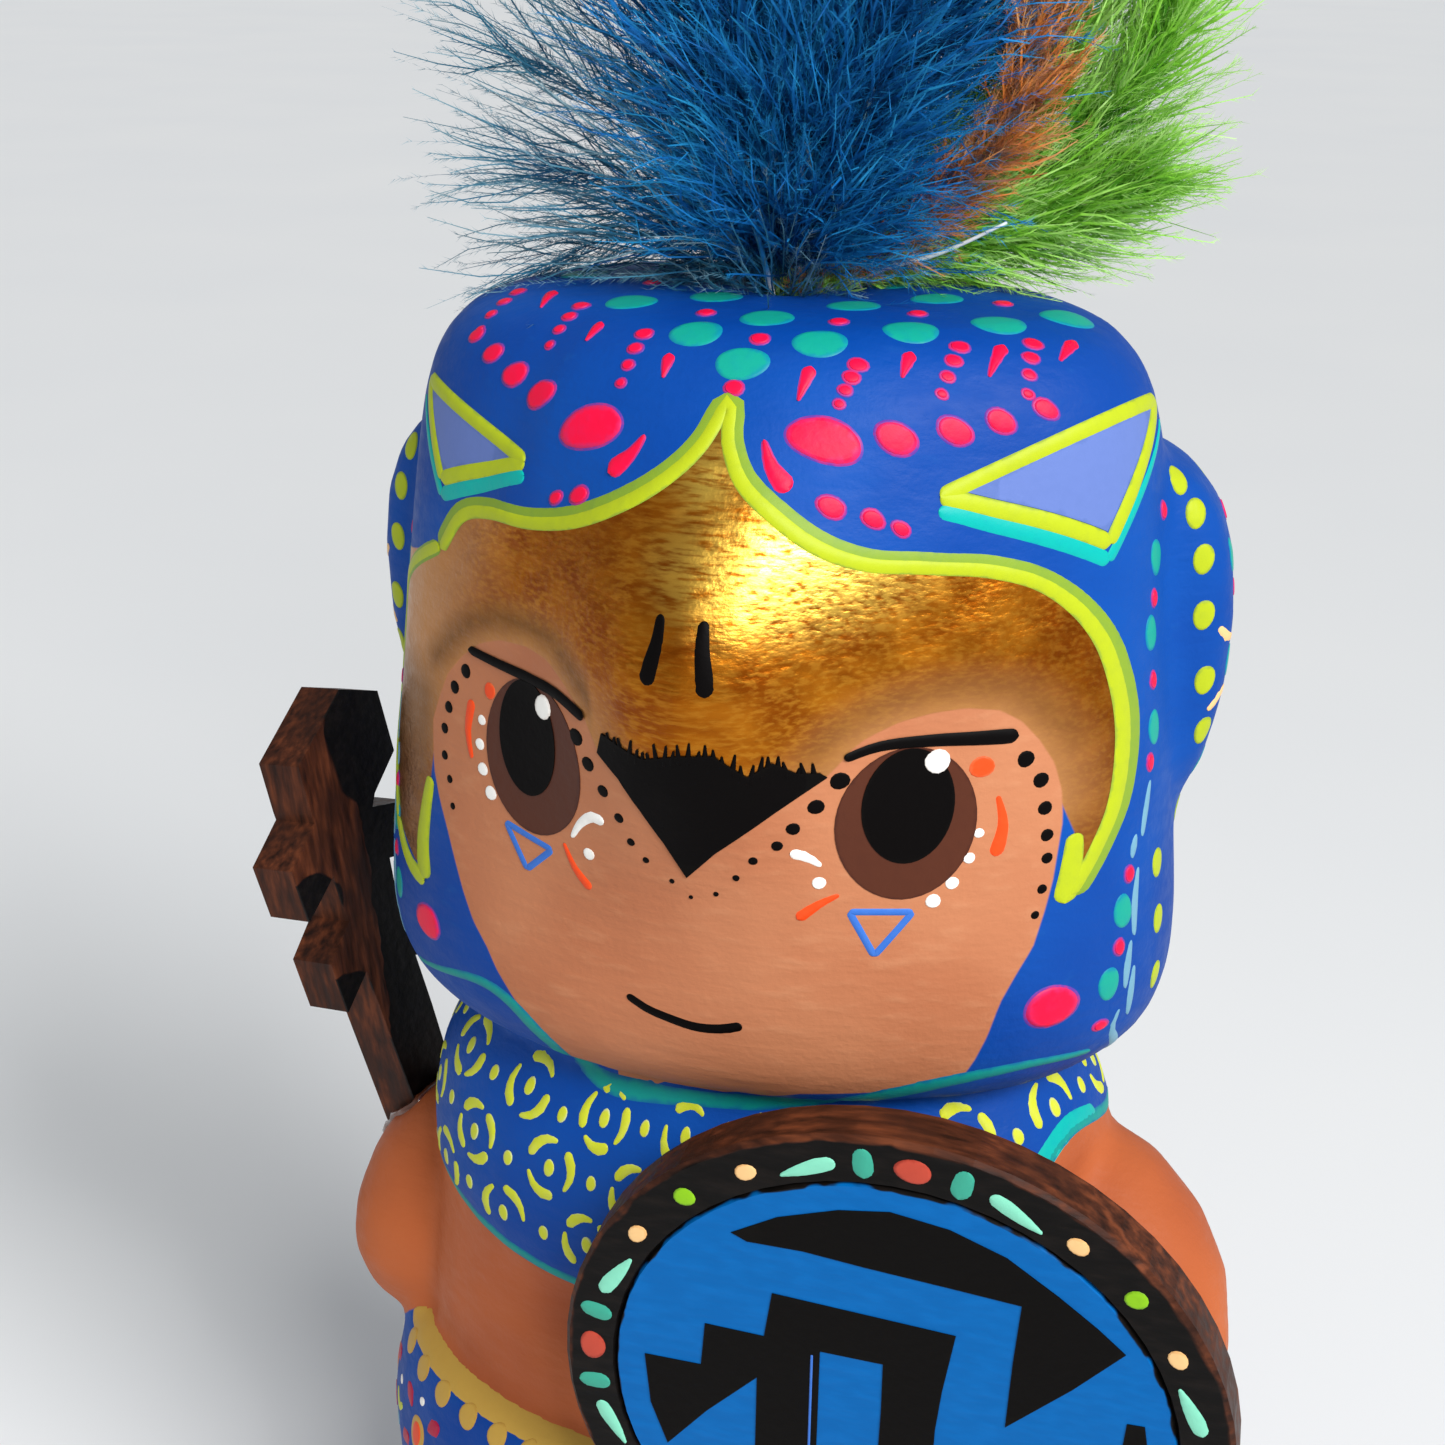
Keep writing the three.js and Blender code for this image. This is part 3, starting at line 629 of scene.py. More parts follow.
def paint_regions(places):
    """How far each place lies inside each paint's area, in millimetres, and from 0 to 1 how strongly
    the gold carries a painted highlight, a painted pale reflection and painted shade."""
    head = places - np.array([0, 0, HEAD_MIDDLE])
    x, y, z = head.T
    in_front = np.where((z > -44) & (y < 0), 0, -99)
    inside_face = edge_distance(x, z, front.seen(FACE_PIXELS + BEAK_EDGE_PIXELS))
    gold_edge = edge_distance(x, z, gold_outline()) + in_front
    gold_edge = np.minimum(gold_edge, np.where(x < 0, GOLD_SIDE_EDGE - y, 9))
    angle = np.arctan2(x, -y)
    below_cape = cape_hem(angle) - z
    above_skirt = z - SKIRT_EDGE
    trunk = np.minimum(below_cape, above_skirt)
    arm_proud = 0.9
    arms = np.maximum(-outside_limb(head, CLUB_ARM, CLUB_ARM_RADII),
                      -outside_limb(head, SHIELD_ARM, SHIELD_ARM_RADII)) + arm_proud
    hidden_cape = np.where(z > cape_hem(angle) + 7, -9.0, 9.0)
    arms = np.minimum(arms, hidden_cape)
    foot_top = -133.5
    feet = np.minimum(foot_top - z, z + HEAD_MIDDLE - BASE_TOP - 0.4)
    skirt_inside = np.hypot(x / 45, (y + 2) / 31)
    feet = np.where((y < -26) | (skirt_inside < 1), feet, -3)
    base_edge = BASE_TOP + 0.4 - (z + HEAD_MIDDLE)
    # Painted reflection on the gold: paler along its lower edge by the face and on the head's side to
    # the figure's right.
    side_reflection = np.clip((-x - 22) / 16, 0, 1)
    low_edge_reflection = np.clip(1 + inside_face / 6, 0, 1) * np.clip((z + 14) / 8, 0, 1)
    pale = np.maximum(low_edge_reflection * 0.8, side_reflection * np.clip((24 - np.abs(z - 10)) / 10, 0, 1))
    # Painted highlight on the gold: a patch where the lamp's reflection sits on the brow.
    highlight_patch = 1.25 - np.hypot((x - 10) / 13, (z - 22) / 7)
    # Painted shade on the gold: an arc just above each eye, heavier on the figure's right, and a band
    # low on the head's right side.
    painted_socket_arc = np.clip(1 - np.abs(-inside_face - 2.4) / 2.6, 0, 1) * np.clip((z + 1) / 4, 0, 1)
    painted_socket_arc *= np.where(x < 0, 0.8, 0.35) * (np.abs(x) > 11)
    strip = np.clip((-x - 33) / 4, 0, 1) * np.clip((4 - z) / 6, 0, 1) * 0.75
    # Painted highlight on the gold: a smaller patch near the gold's upper tip.
    ridge_highlight = 0.9 - np.hypot((x - 0.5) / 5, (z - 30) / 6)
    return {
        "face_edge": inside_face + in_front,
        "gold_edge": gold_edge,
        "gold_painted_highlight": np.clip(np.maximum(highlight_patch, ridge_highlight), 0, 1),
        "bare_edge": np.maximum(np.maximum(trunk, arms), feet),
        "base_edge": base_edge,
        "gold_painted_shade": np.maximum(painted_socket_arc, strip),
        "gold_painted_reflection": np.clip(pale, 0, 1),
    }


# Paint marks: thin raised strokes and dots laid on the skin

class View:
    """Rays that reach the figure square on from one side: u to their right, v up, from the
    head's middle."""

    far = 200
    reach = 170

    def __init__(self, azimuth, elevation=0):
        a, e = math.radians(azimuth), math.radians(elevation)
        self.back = Vector((math.sin(a) * math.cos(e), -math.cos(a) * math.cos(e), math.sin(e)))
        self.right = Vector((math.cos(a), math.sin(a), 0))
        self.up = self.back.cross(self.right)
        self.middle = Vector((0, 0, HEAD_MIDDLE))

    def ray(self, u, v):
        start = self.middle + self.right * u + self.up * v + self.back * self.far
        return start, -self.back

    def seen(self, pixels):
        """Where this view has the places that pixels of the photograph show, as u and v."""
        spots = [seen_on_skin(x, y) - self.middle for x, y in pixels]
        return [(spot.dot(self.right), spot.dot(self.up)) for spot in spots]

    def place(self, u, v, lift):
        start, way = self.ray(u, v)
        spot, normal, _, _ = skin_tree.ray_cast(start, way)
        if spot is None or normal.dot(-way) < 0.12:
            spot, normal, _, _ = skin_tree.find_nearest(start + way * self.reach)
        return spot + normal * lift


class Spot(View):
    """Rays straight onto the skin at the place nearest to a point: x, y and z above the head's
    middle."""

    far = 5
    reach = 5

    def __init__(self, x, y, z):
        self.middle, self.back, _, _ = skin_tree.find_nearest(Vector((x, y, HEAD_MIDDLE + z)))
        self.right = Vector((0, 0, 1)).cross(self.back).normalized()
        self.up = self.back.cross(self.right)


class Round(View):
    """Rays that reach the trunk from all round: u is the way round it from the front on a
    trunk of this radius, v is the height above the head's middle."""

    def __init__(self, radius, centre_y=0):
        self.radius = radius
        self.middle = Vector((0, centre_y, HEAD_MIDDLE))

    def ray(self, u, v):
        angle = u / self.radius
        out = Vector((math.sin(angle), -math.cos(angle), 0))
        return self.middle + out * self.far + Vector((0, 0, v)), -out

    def place(self, u, v, lift):
        start, way = self.ray(u, v)
        spot, normal, _, _ = skin_tree.ray_cast(start, way)
        return spot + normal * lift


class Board:
    """A flat board's face: u and v in its plane from a middle point."""

    def __init__(self, middle, right, up):
        self.middle, self.right, self.up = middle, right, up
        self.out = right.cross(up)

    def seen(self, pixels):
        """Where the board's face has the places that pixels of the photograph show."""
        found = []
        for x, y in pixels:
            start, way = photo_ray(x, y)
            reach = (self.middle - start).dot(self.out) / way.dot(self.out)
            spot = start + way * reach - self.middle
            found.append((spot.dot(self.right), spot.dot(self.up)))
        return found

    def place(self, u, v, lift):
        return self.middle + self.right * u + self.up * v + self.out * lift


class Coat:
    """All marks of one paint colour, joined into one piece."""

    def __init__(self, name, material, slot="painted_clay"):
        self.name, self.material, self.slot = name, material, slot
        self.points, self.faces, self.rim = [], [], []

    def grid(self, rows, rims):
        """Faces between rows of equally many points."""
        first = len(self.points)
        width = len(rows[0])
        for row, row_rims in zip(rows, rims):
            self.points.extend(row)
            self.rim.extend(row_rims)
        for r in range(len(rows) - 1):
            for c in range(width - 1):
                a = first + r * width + c
                self.faces.append((a, a + 1, a + width + 1, a + width))

    def stroke(self, view, points, width, level=1, taper=(1, 1)):
        """A brush stroke along a curve. width is one number or one for each point; taper
        narrows its first and last end to that share."""
        line = smooth_line(points)
        lengths = [0.0]
        for a, b in zip(line, line[1:]):
            lengths.append(lengths[-1] + (b - a).length)
        total = lengths[-1]
        widths = [width] * len(points) if isinstance(width, (int, float)) else list(width)
        if len(widths) == 2 and len(points) > 2:
            widths = list(np.linspace(widths[0], widths[1], len(points)))
        knots = np.linspace(0, total, len(widths))
        ends = [min(total * 0.45, widths[i] * 0.5) for i in (0, -1)]
        marks = [ends[0] * (1 - math.sin(math.radians(d))) for d in (90, 66, 45, 22)]
        marks += [m for m in lengths if ends[0] < m < total - ends[1]]
        marks += [total - ends[1] * (1 - math.sin(math.radians(d))) for d in (22, 45, 66, 90)]
        rows, rims = [], []
        across = (-1, -0.62, 0, 0.62, 1)
        lifts = (-PAINT_SINK, PAINT_THICKNESS * 0.85, PAINT_THICKNESS, PAINT_THICKNESS * 0.85,
                 -PAINT_SINK)
        us = np.interp(marks, lengths, [p[0] for p in line])
        vs = np.interp(marks, lengths, [p[1] for p in line])
        for k, mark in enumerate(marks):
            half = float(np.interp(mark, knots, widths)) / 2
            half *= 1 - (1 - taper[0]) * max(0, 1 - mark / (total * 0.6)) if taper[0] < 1 else 1
            half *= 1 - (1 - taper[1]) * max(0, 1 - (total - mark) / (total * 0.6)) \
                if taper[1] < 1 else 1
            for end, reach in ((mark, ends[0]), (total - mark, ends[1])):
                if end < reach:
                    half *= math.sqrt(max(0.004, 1 - (1 - end / reach) ** 2))
            before, after = max(k - 1, 0), min(k + 1, len(marks) - 1)
            way = Vector((us[after] - us[before], vs[after] - vs[before]))
            if way.length < 1e-9:
                way = Vector((1, 0))
            side = Vector((-way.y, way.x)).normalized()
            rows.append([view.place(us[k] + side.x * half * s, vs[k] + side.y * half * s,
                                    lift + (level - 1) * PAINT_THICKNESS)
                         for s, lift in zip(across, lifts)])
            rims.append([abs(s) for s in across])
        self.grid(rows, rims)

    def dot(self, view, u, v, width, height=None, turn=0, level=1, dome=1.0):
        """A round or oval drop of paint, a little domed."""
        height = width if height is None else height
        sides = max(12, int(max(width, height) * 5))
        c, s = math.cos(math.radians(turn)), math.sin(math.radians(turn))
        first = len(self.points)
        shells = ((0.0, 1.25), (0.45, 1.2), (0.8, 1.0), (0.94, 0.7), (1.0, None))
        wobble = [1 + 0.025 * math.sin(2 * math.pi * k / sides * 3 + u + v) for k in range(sides)]
        for share, rise in shells:
            lift = -PAINT_SINK if rise is None else PAINT_THICKNESS * (level - 1 + rise * dome)
            if share == 0:
                self.points.append(view.place(u, v, lift))
                self.rim.append(0)
                continue
            for k in range(sides):
                angle = 2 * math.pi * k / sides
                a = math.cos(angle) * width / 2 * share * wobble[k]
                b = math.sin(angle) * height / 2 * share * wobble[k]
                self.points.append(view.place(u + a * c - b * s, v + a * s + b * c, lift))
                self.rim.append(share)
        for k in range(sides):
            n = (k + 1) % sides
            self.faces.append((first, first + 1 + k, first + 1 + n))
            for ring in range(len(shells) - 2):
                a = first + 1 + ring * sides
                self.faces.append((a + k, a + sides + k, a + sides + n, a + n))

    def area(self, view, outline, level=1, rim_width=0.8, spacing=1.5):
        """A filled area inside a closed outline, its border turned down to the skin."""
        outline = [Vector(p) for p in outline]
        fine = []
        for a, b in zip(outline, outline[1:] + outline[:1]):
            pieces = max(1, round((b - a).length / STEP_ALONG_STROKE))
            fine.extend(a.lerp(b, i / pieces) for i in range(pieces))
        us, vs = [p[0] for p in fine], [p[1] for p in fine]
        gu, gv = np.meshgrid(np.arange(min(us), max(us), spacing),
                             np.arange(min(vs), max(vs), spacing))
        gu, gv = gu.ravel(), gv.ravel()
        inside = edge_distance(gu, gv, fine)
        keep = inside > spacing * 0.45
        inner = [Vector(p) for p in zip(gu[keep].tolist(), gv[keep].tolist())]
        count = len(fine)
        result = delaunay_2d_cdt(fine + inner, [], [list(range(count))], 1, 1e-4)
        flat, faces = result[0], result[2]
        depth = edge_distance([p[0] for p in flat], [p[1] for p in flat], fine)
        lift = PAINT_THICKNESS * level
        first = len(self.points)
        self.points.extend(view.place(p[0], p[1], lift) for p in flat)
        self.rim.extend(float(max(0, 1 - d / rim_width)) for d in depth)
        self.faces.extend(tuple(first + i for i in face) for face in faces)
        wall = len(self.points)
        for p in fine:
            self.points.append(view.place(p[0], p[1], lift))
            self.points.append(view.place(p[0], p[1], -PAINT_SINK))
            self.rim.extend((1.0, 1.0))
        for k in range(count):
            a, b = wall + 2 * k, wall + 2 * ((k + 1) % count)
            self.faces.append((a, a + 1, b + 1, b))

    def build(self):
        return new_piece(self.name, self.points, self.faces, self.material,
                         {"rim": self.rim})


clay_body, skin_tree, skin_places = clay_skin()
front = View(0)
brow = View(0, 45)
left_brow = View(-50, 30)
right_brow = View(50, 30)
right_side = View(90)
left_side = View(-90)
behind = View(180)
trunk = Round(40)
skirt = Round(44, -2)

add_values(clay_body.data, paint_regions(skin_places))

shield_low, shield_high = (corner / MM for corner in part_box("shield"))
shield_out = Vector((0, -math.cos(SHIELD_TILT), -math.sin(SHIELD_TILT)))
shield_board = Board((shield_low + shield_high) / 2 + shield_out * SHIELD_THICKNESS / 2,
                     Vector((1, 0, 0)),
                     Vector((0, -math.sin(SHIELD_TILT), math.cos(SHIELD_TILT))))


def club_face():
    out = Vector((math.sin(CLUB_TURN) * math.cos(CLUB_TIP),
                  -math.cos(CLUB_TURN) * math.cos(CLUB_TIP), math.sin(CLUB_TIP)))
    level = Vector((-out.y, out.x, 0)).normalized()
    across = level * math.cos(CLUB_LEAN) + out.cross(level) * math.sin(CLUB_LEAN)
    return Board(CLUB_FOOT, across, out.cross(across))


club_board = club_face()

COATS = {
    "lime": acrylic("satin_lime_acrylic", "#ABB91C", "#8A9E30"),
    "deep_lime": acrylic("thin_lime_acrylic", "#7E9A2C", "#5A8448"),
    "pale_lime": acrylic("dry_lime_acrylic", "#C6CC30", "#C3CB8C"),
    "teal": acrylic("satin_teal_acrylic", "#119A86", "#0A7F98"),
    "thin_teal": acrylic("thin_teal_acrylic", "#0C8C84", "#0A5C90", 0.5, 0.3),
    "turquoise": acrylic("turquoise_acrylic", "#00A79E", "#0086A0"),
    "mint": acrylic("mint_acrylic", "#82D2B4", "#6ABEA6"),
    "sea": acrylic("sea_green_acrylic", "#3A9E86", "#2E8C7C"),
    "mist": acrylic("grey_blue_acrylic", "#6C9CB2", "#4A7EA8"),
    "fuchsia": acrylic("fuchsia_acrylic", "#E8083C", "#C4245E"),
    "crimson": acrylic("crimson_acrylic", "#B00438", "#7A1250"),
    "pink": acrylic("thin_fuchsia_acrylic", "#B4286A", "#5A3894"),
    "lavender": acrylic("lavender_acrylic", "#5F74B2", "#566CA8"),
    "black": acrylic("black_acrylic", "#070505", "#0A0807", 0.5, 0.72, 0.05),
    "iris": acrylic("umber_acrylic", "#502819", "#452116", 0.4),
    "white": acrylic("white_acrylic", "#F2F0EA", "#E0D8D0"),
    "orange": acrylic("vermilion_acrylic", "#E84818", "#DE6034"),
    "sky": acrylic("sky_blue_acrylic", "#376BC0", "#527CC2"),
    "ochre": acrylic("ochre_acrylic", "#C29A44", "#B98E3C"),
    "peach": acrylic("peach_acrylic", "#EBBE82", "#D9A468"),
    "brick": acrylic("brick_red_acrylic", "#B84634", "#983426"),
    "leaf": acrylic("leaf_green_acrylic", "#86BE18", "#6E9E1C"),
    "shield_black": acrylic("shield_black_acrylic", "#0B0908", "#0E0C0A", 0.5, 0.72, 0.05),
}
SLOTS = {"brick": "shield_wood", "leaf": "shield_wood", "shield_black": "shield_wood",
         "sea": "shield_wood", "mint": "shield_wood", "peach": "shield_wood"}
coats = {name: Coat("paint_" + name, material, SLOTS.get(name, "painted_clay"))
         for name, material in COATS.items()}


def paint_eyes():
    """Iris, pupil and glint in each eye, under a black lid line. Half sizes are in mm."""
    iris, black, white = coats["iris"], coats["black"], coats["white"]
    for eye, pupil, glint, lid, iris_half, pupil_half, drop in (
            (LEFT_IRIS_PIXEL, LEFT_PUPIL_PIXEL, LEFT_GLINT_PIXEL, 4.9, (6.9, 8.9), (4.1, 6.6),
             (2.3, 2.9)),
            (RIGHT_IRIS_PIXEL, RIGHT_PUPIL_PIXEL, RIGHT_GLINT_PIXEL, 2.4, (6.9, 8.5), (4.5, 6.4),
             (2.6, 2.7))):
        middle, inner, shine = front.seen([eye, pupil, glint])
        iris.area(front, eye_outline(*middle, *iris_half, lid), 1)
        black.area(front, eye_outline(*inner, *pupil_half, lid), 2)
        white.dot(front, *shine, *drop, 0, 3)
    black.stroke(front, front.seen(LEFT_LID_PIXELS), (1.5, 1.1), 3)
    black.stroke(front, front.seen(RIGHT_LID_PIXELS), (1.0, 1.7), 3)


def eye_outline(u, v, half_width, half_height, lid):
    """An upright oval cut off along the eyelid's level."""
    sides = 44
    return [(u + half_width * math.cos(2 * math.pi * k / sides),
             min(lid, v + half_height * math.sin(2 * math.pi * k / sides)))
            for k in range(sides)]


def paint_face_marks():
    black, white, orange, sky = (coats[k] for k in ("black", "white", "orange", "sky"))
    for pixels, largest in ((LEFT_TEMPLE_DOT_PIXELS, 1.7), (RIGHT_TEMPLE_DOT_PIXELS, 1.9)):
        for k, (u, v) in enumerate(front.seen(pixels)):
            size = largest * (1 - 0.085 * k)
            black.dot(front, u, v, size * 0.9, size)
    for k, (u, v) in enumerate(front.seen(BEAK_CHAIN_PIXELS)):
        size = 0.5 + 1.5 * (abs(k - 7) / 7) ** 1.3
        black.dot(front, u, v, size)
    for pixels, smallest in ((LEFT_WHITE_PIXELS, 1.2), (RIGHT_WHITE_PIXELS, 1.1)):
        for k, (u, v) in enumerate(front.seen(pixels)):
            white.dot(front, u, v, smallest + 0.17 * k)
    for u, v in front.seen(WHITE_DROP_PIXELS):
        white.dot(front, u, v, 1.5)
    for coat, pixels, widths in (
            (white, LEFT_COMMA_PIXELS, (0.7, 1.9)), (white, RIGHT_COMMA_PIXELS, (0.7, 1.8)),
            (orange, LEFT_OUTER_ORANGE_PIXELS, (1.7, 0.8)),
            (orange, LEFT_INNER_ORANGE_PIXELS, (0.6, 1.6)),
            (orange, RIGHT_INNER_ORANGE_PIXELS, (0.6, 1.8)),
            (orange, RIGHT_OUTER_ORANGE_PIXELS, (0.6, 2.0)),
            (black, MOUTH_PIXELS, (1.2, 1.5)), (black, LEFT_NOSTRIL_PIXELS, (1.2, 2.5)),
            (black, RIGHT_NOSTRIL_PIXELS, (1.4, 2.5))):
        coat.stroke(front, front.seen(pixels), widths)
    for pixel, width, height in ((LEFT_ORANGE_DOT_PIXEL, 1.7, 2.0),
                                 (RIGHT_ORANGE_DOT_PIXEL, 2.6, 2.4)):
        orange.dot(front, *front.seen([pixel])[0], width, height)
    for pixels in CHEEK_TRIANGLE_PIXELS:
        corners = front.seen(pixels)
        for a, b in zip(corners, corners[1:] + corners[:1]):
            sky.stroke(front, [a, b], 0.95)


def paint_beak():
    """The beak's black tip, its upper edge drawn out in short dry strokes."""
    black = coats["black"]
    top = front.seen(BEAK_TOP_PIXELS)
    black.area(front, front.seen(BEAK_EDGE_PIXELS[1:-2]) + top, 2)
    random.seed(4)
    across, levels = zip(*sorted(top))
    for u in np.arange(across[0] + 1, across[-1], 0.85):
        height = np.interp(u, across, levels)
        lean = random.uniform(-0.5, 0.5)
        rise = random.uniform(0.5, 1.7)
        black.stroke(front, [(u, height - 1), (u + lean, height + rise)], (0.8, 0.25), 2)


def paint_brow_edge():
    """The lime line round the gold, its outer side thinner and greener, with two low tips. On
    the figure's right it runs down the side of the head, past the corner."""
    lime, deep = coats["lime"], coats["deep_lime"]
    line = front.seen(BROW_LEFT_PIXELS + [BROW_TIP_PIXEL] + BROW_RIGHT_PIXELS)
    tip = len(BROW_LEFT_PIXELS)
    deep.stroke(front, line, 2.6)
    inner = []
    for k, p in enumerate(line):
        a, b = Vector(line[max(k - 1, 0)]), Vector(line[min(k + 1, len(line) - 1)])
        way = (b - a).normalized()
        shift = 0.0 if k == tip else 0.45
        inner.append((p[0] + way.y * shift, p[1] - way.x * shift))
    lime.stroke(front, inner, 1.5, 2)
    start, end = left_side.seen([BROW_LEFT_PIXELS[0], BROW_LEFT_FOOT_PIXELS[0]])
    side = -GOLD_SIDE_EDGE
    past_corner = [start, (side + 1, 8), (side, 0), (side, -8), end]
    deep.stroke(left_side, past_corner, 2.4)
    lime.stroke(left_side, past_corner, 1.5, 2)
    for pixels, widths in ((BROW_LEFT_FOOT_PIXELS, (1.6, 2.4)), (BROW_LEFT_HOOK_PIXELS, (1.5, 2.8)),
                           (BROW_RIGHT_HOOK_PIXELS, (1.7, 2.6))):
        lime.stroke(front, front.seen(pixels), widths, 2)


def paint_crown():
    """Teal drops on the crown, fuchsia dots and comet strokes down to the brow. What the plume
    hides is guessed, in mm."""
    teal, fuchsia, pink = (coats[k] for k in ("teal", "fuchsia", "pink"))
    hidden_ovals = [(-15, 38), (0, 41), (20, 40), (-27, 40)]
    hidden_dots = [(4, 35), (-9, 35)]
    for u, v in brow.seen(CROWN_OVAL_PIXELS) + hidden_ovals:
        teal.dot(brow, u, v, 5.9, 4.1, 8)
    for u, v in brow.seen(CROWN_DOT_PIXELS) + hidden_dots:
        haloed_dot(brow, u, v, 1.9, 1.5)
    for u, v in brow.seen(CROWN_LARGE_PIXELS):
        haloed_dot(brow, u, v, 7.6, 4.3)
    for pixels, sizes in ((CROWN_RIGHT_ROW_PIXELS, (4.1, 3.4, 2.9, 2.4)),
                          (CROWN_LEFT_ROW_PIXELS, (3.7, 3.3, 2.7, 2.1)),
                          (CROWN_LOW_PIXELS, (1.5, 2.2, 2.7, 2.1, 1.6))):
        for (u, v), size in zip(brow.seen(pixels), sizes):
            haloed_dot(brow, u, v, size, size * 0.72)
    for pixels in CROWN_CRESCENT_PIXELS:
        points = brow.seen(pixels)
        pink.stroke(brow, points, (0.8, 2.0, 3.3))
        fuchsia.stroke(brow, points, (0.3, 1.5, 2.8), 2)
    for pixels in CROWN_COMET_PIXELS:
        head, tail = brow.seen(pixels)
        points = [head, tuple((Vector(head) + Vector(tail)) / 2), tail]
        pink.stroke(brow, points, (2.4, 1.5, 0.5))
        fuchsia.stroke(brow, points, (1.9, 1.0, 0.2), 2)
    for pixels in CROWN_CHAIN_PIXELS:
        first, last = (Vector(p) for p in brow.seen(pixels))
        for k in range(4):
            haloed_dot(brow, *first.lerp(last, k / 3), 1.9 - 0.3 * k, 1.4 - 0.2 * k)


def haloed_dot(view, u, v, width, height):
    """A fuchsia drop over a wider, thinner pink one, as where a wet dot has spread."""
    coats["pink"].dot(view, u, v, width + 0.6, height + 0.55, 0, 1, 0.7)
    coats["fuchsia"].dot(view, u, v, width, height, 0, 2)


def paint_brow_triangles():
    """A lavender triangle edged with lime at each upper corner, turquoise along its foot."""
    for side, view, pixels in ((1, right_brow, RIGHT_TRIANGLE_PIXELS),
                               (-1, left_brow, LEFT_TRIANGLE_PIXELS)):
        tip, high, low = view.seen(pixels)
        middle = (Vector(tip) + Vector(high) + Vector(low)) / 3
        inner = [Vector(p).lerp(middle, 0.16) for p in (tip, high, low)]
        coats["lavender"].area(view, [tuple(p) for p in inner], 1)
        below = [(tip[0] - 0.4 * side, tip[1] - 1.3), (low[0] - 0.2 * side, low[1] - 1.7)]
        coats["turquoise"].stroke(view, below, 2.0)
        coats["turquoise"].stroke(view, [below[1], (high[0] + side, high[1] - 2)], (1.6, 0.6))
        for a, b in ((tip, high), (tip, low), (low, high)):
            coats["lime"].stroke(view, [a, b], 1.8, 2)


def clear_of_arms(view, u, v, margin):
    """Whether a place on the trunk is free of both arms by a margin."""
    place = np.array([tuple(view.place(u, v, 0) - Vector((0, 0, HEAD_MIDDLE)))])
    return min(outside_limb(place, CLUB_ARM, CLUB_ARM_RADII)[0],
               outside_limb(place, SHIELD_ARM, SHIELD_ARM_RADII)[0]) > margin


def line_round(coat, view, level_at, width, margin=0.6):
    """A painted line all round the trunk, left out where an arm covers it."""
    run = []
    count = 120
    for k in range(count + 1):
        angle = math.pi * (2 * k / count - 1)
        if k < count and clear_of_arms(view, view.radius * angle, level_at(angle), margin):
            run.append((view.radius * angle, level_at(angle)))
        else:
            if len(run) > 2:
                coat.stroke(view, run, width)
            run = []


def arc(u, v, radius, start, end):
    """Four points of an arc round a middle, its ends given in degrees."""
    angles = [math.radians(start + (end - start) * k / 3) for k in range(4)]
    return [(u + radius * math.cos(a), v + radius * math.sin(a)) for a in angles]


def paint_cape():
    """Dot-and-comma rosettes in dry lime on the cape, edged with thin teal."""
    lime = coats["pale_lime"]
    random.seed(12)
    across, down = 13.6, 8.2
    top, rows = -48.5, 4
    ring = 3.5
    columns = round(2 * math.pi * trunk.radius / across)
    for row in range(rows):
        for column in range(columns):
            u = (column + 0.5 * (row % 2)) * across - math.pi * trunk.radius
            v = top - row * down + random.uniform(-0.5, 0.5)
            hem = float(cape_hem(u / trunk.radius))
            if v - 1.4 > hem and clear_of_arms(trunk, u, v, 2.4):
                lime.dot(trunk, u, v, 1.7, 2.3)
                turn = random.uniform(0, 90)
                arms = 4 - column % 2
                half = 37 if arms == 4 else 44
                for k in range(arms):
                    middle = turn + 360 / arms * k
                    end_v = v + ring * math.sin(math.radians(middle))
                    end_u = u + ring * math.cos(math.radians(middle))
                    if end_v - 1.8 > hem and clear_of_arms(trunk, end_u, end_v, 1.8):
                        lime.stroke(trunk, arc(u, v, ring, middle - half, middle + half),
                                    (0.7, 1.3, 1.8, 1.7))
            between = u + across / 2
            hem = float(cape_hem(between / trunk.radius))
            if v - 1.4 > hem and clear_of_arms(trunk, between, v, 2.4):
                lime.dot(trunk, between, v + random.uniform(-1.5, 1.5), 1.6, 2.0)
    line_round(coats["thin_teal"], trunk, lambda angle: float(cape_hem(angle)), 1.7)
    shoulder = [(trunk.radius * math.radians(a), float(cape_hem(math.radians(a))) + 0.6)
                for a in (60, 67, 75, 84)]
    coats["turquoise"].stroke(trunk, shoulder, (1.6, 3, 3.2, 2.4))


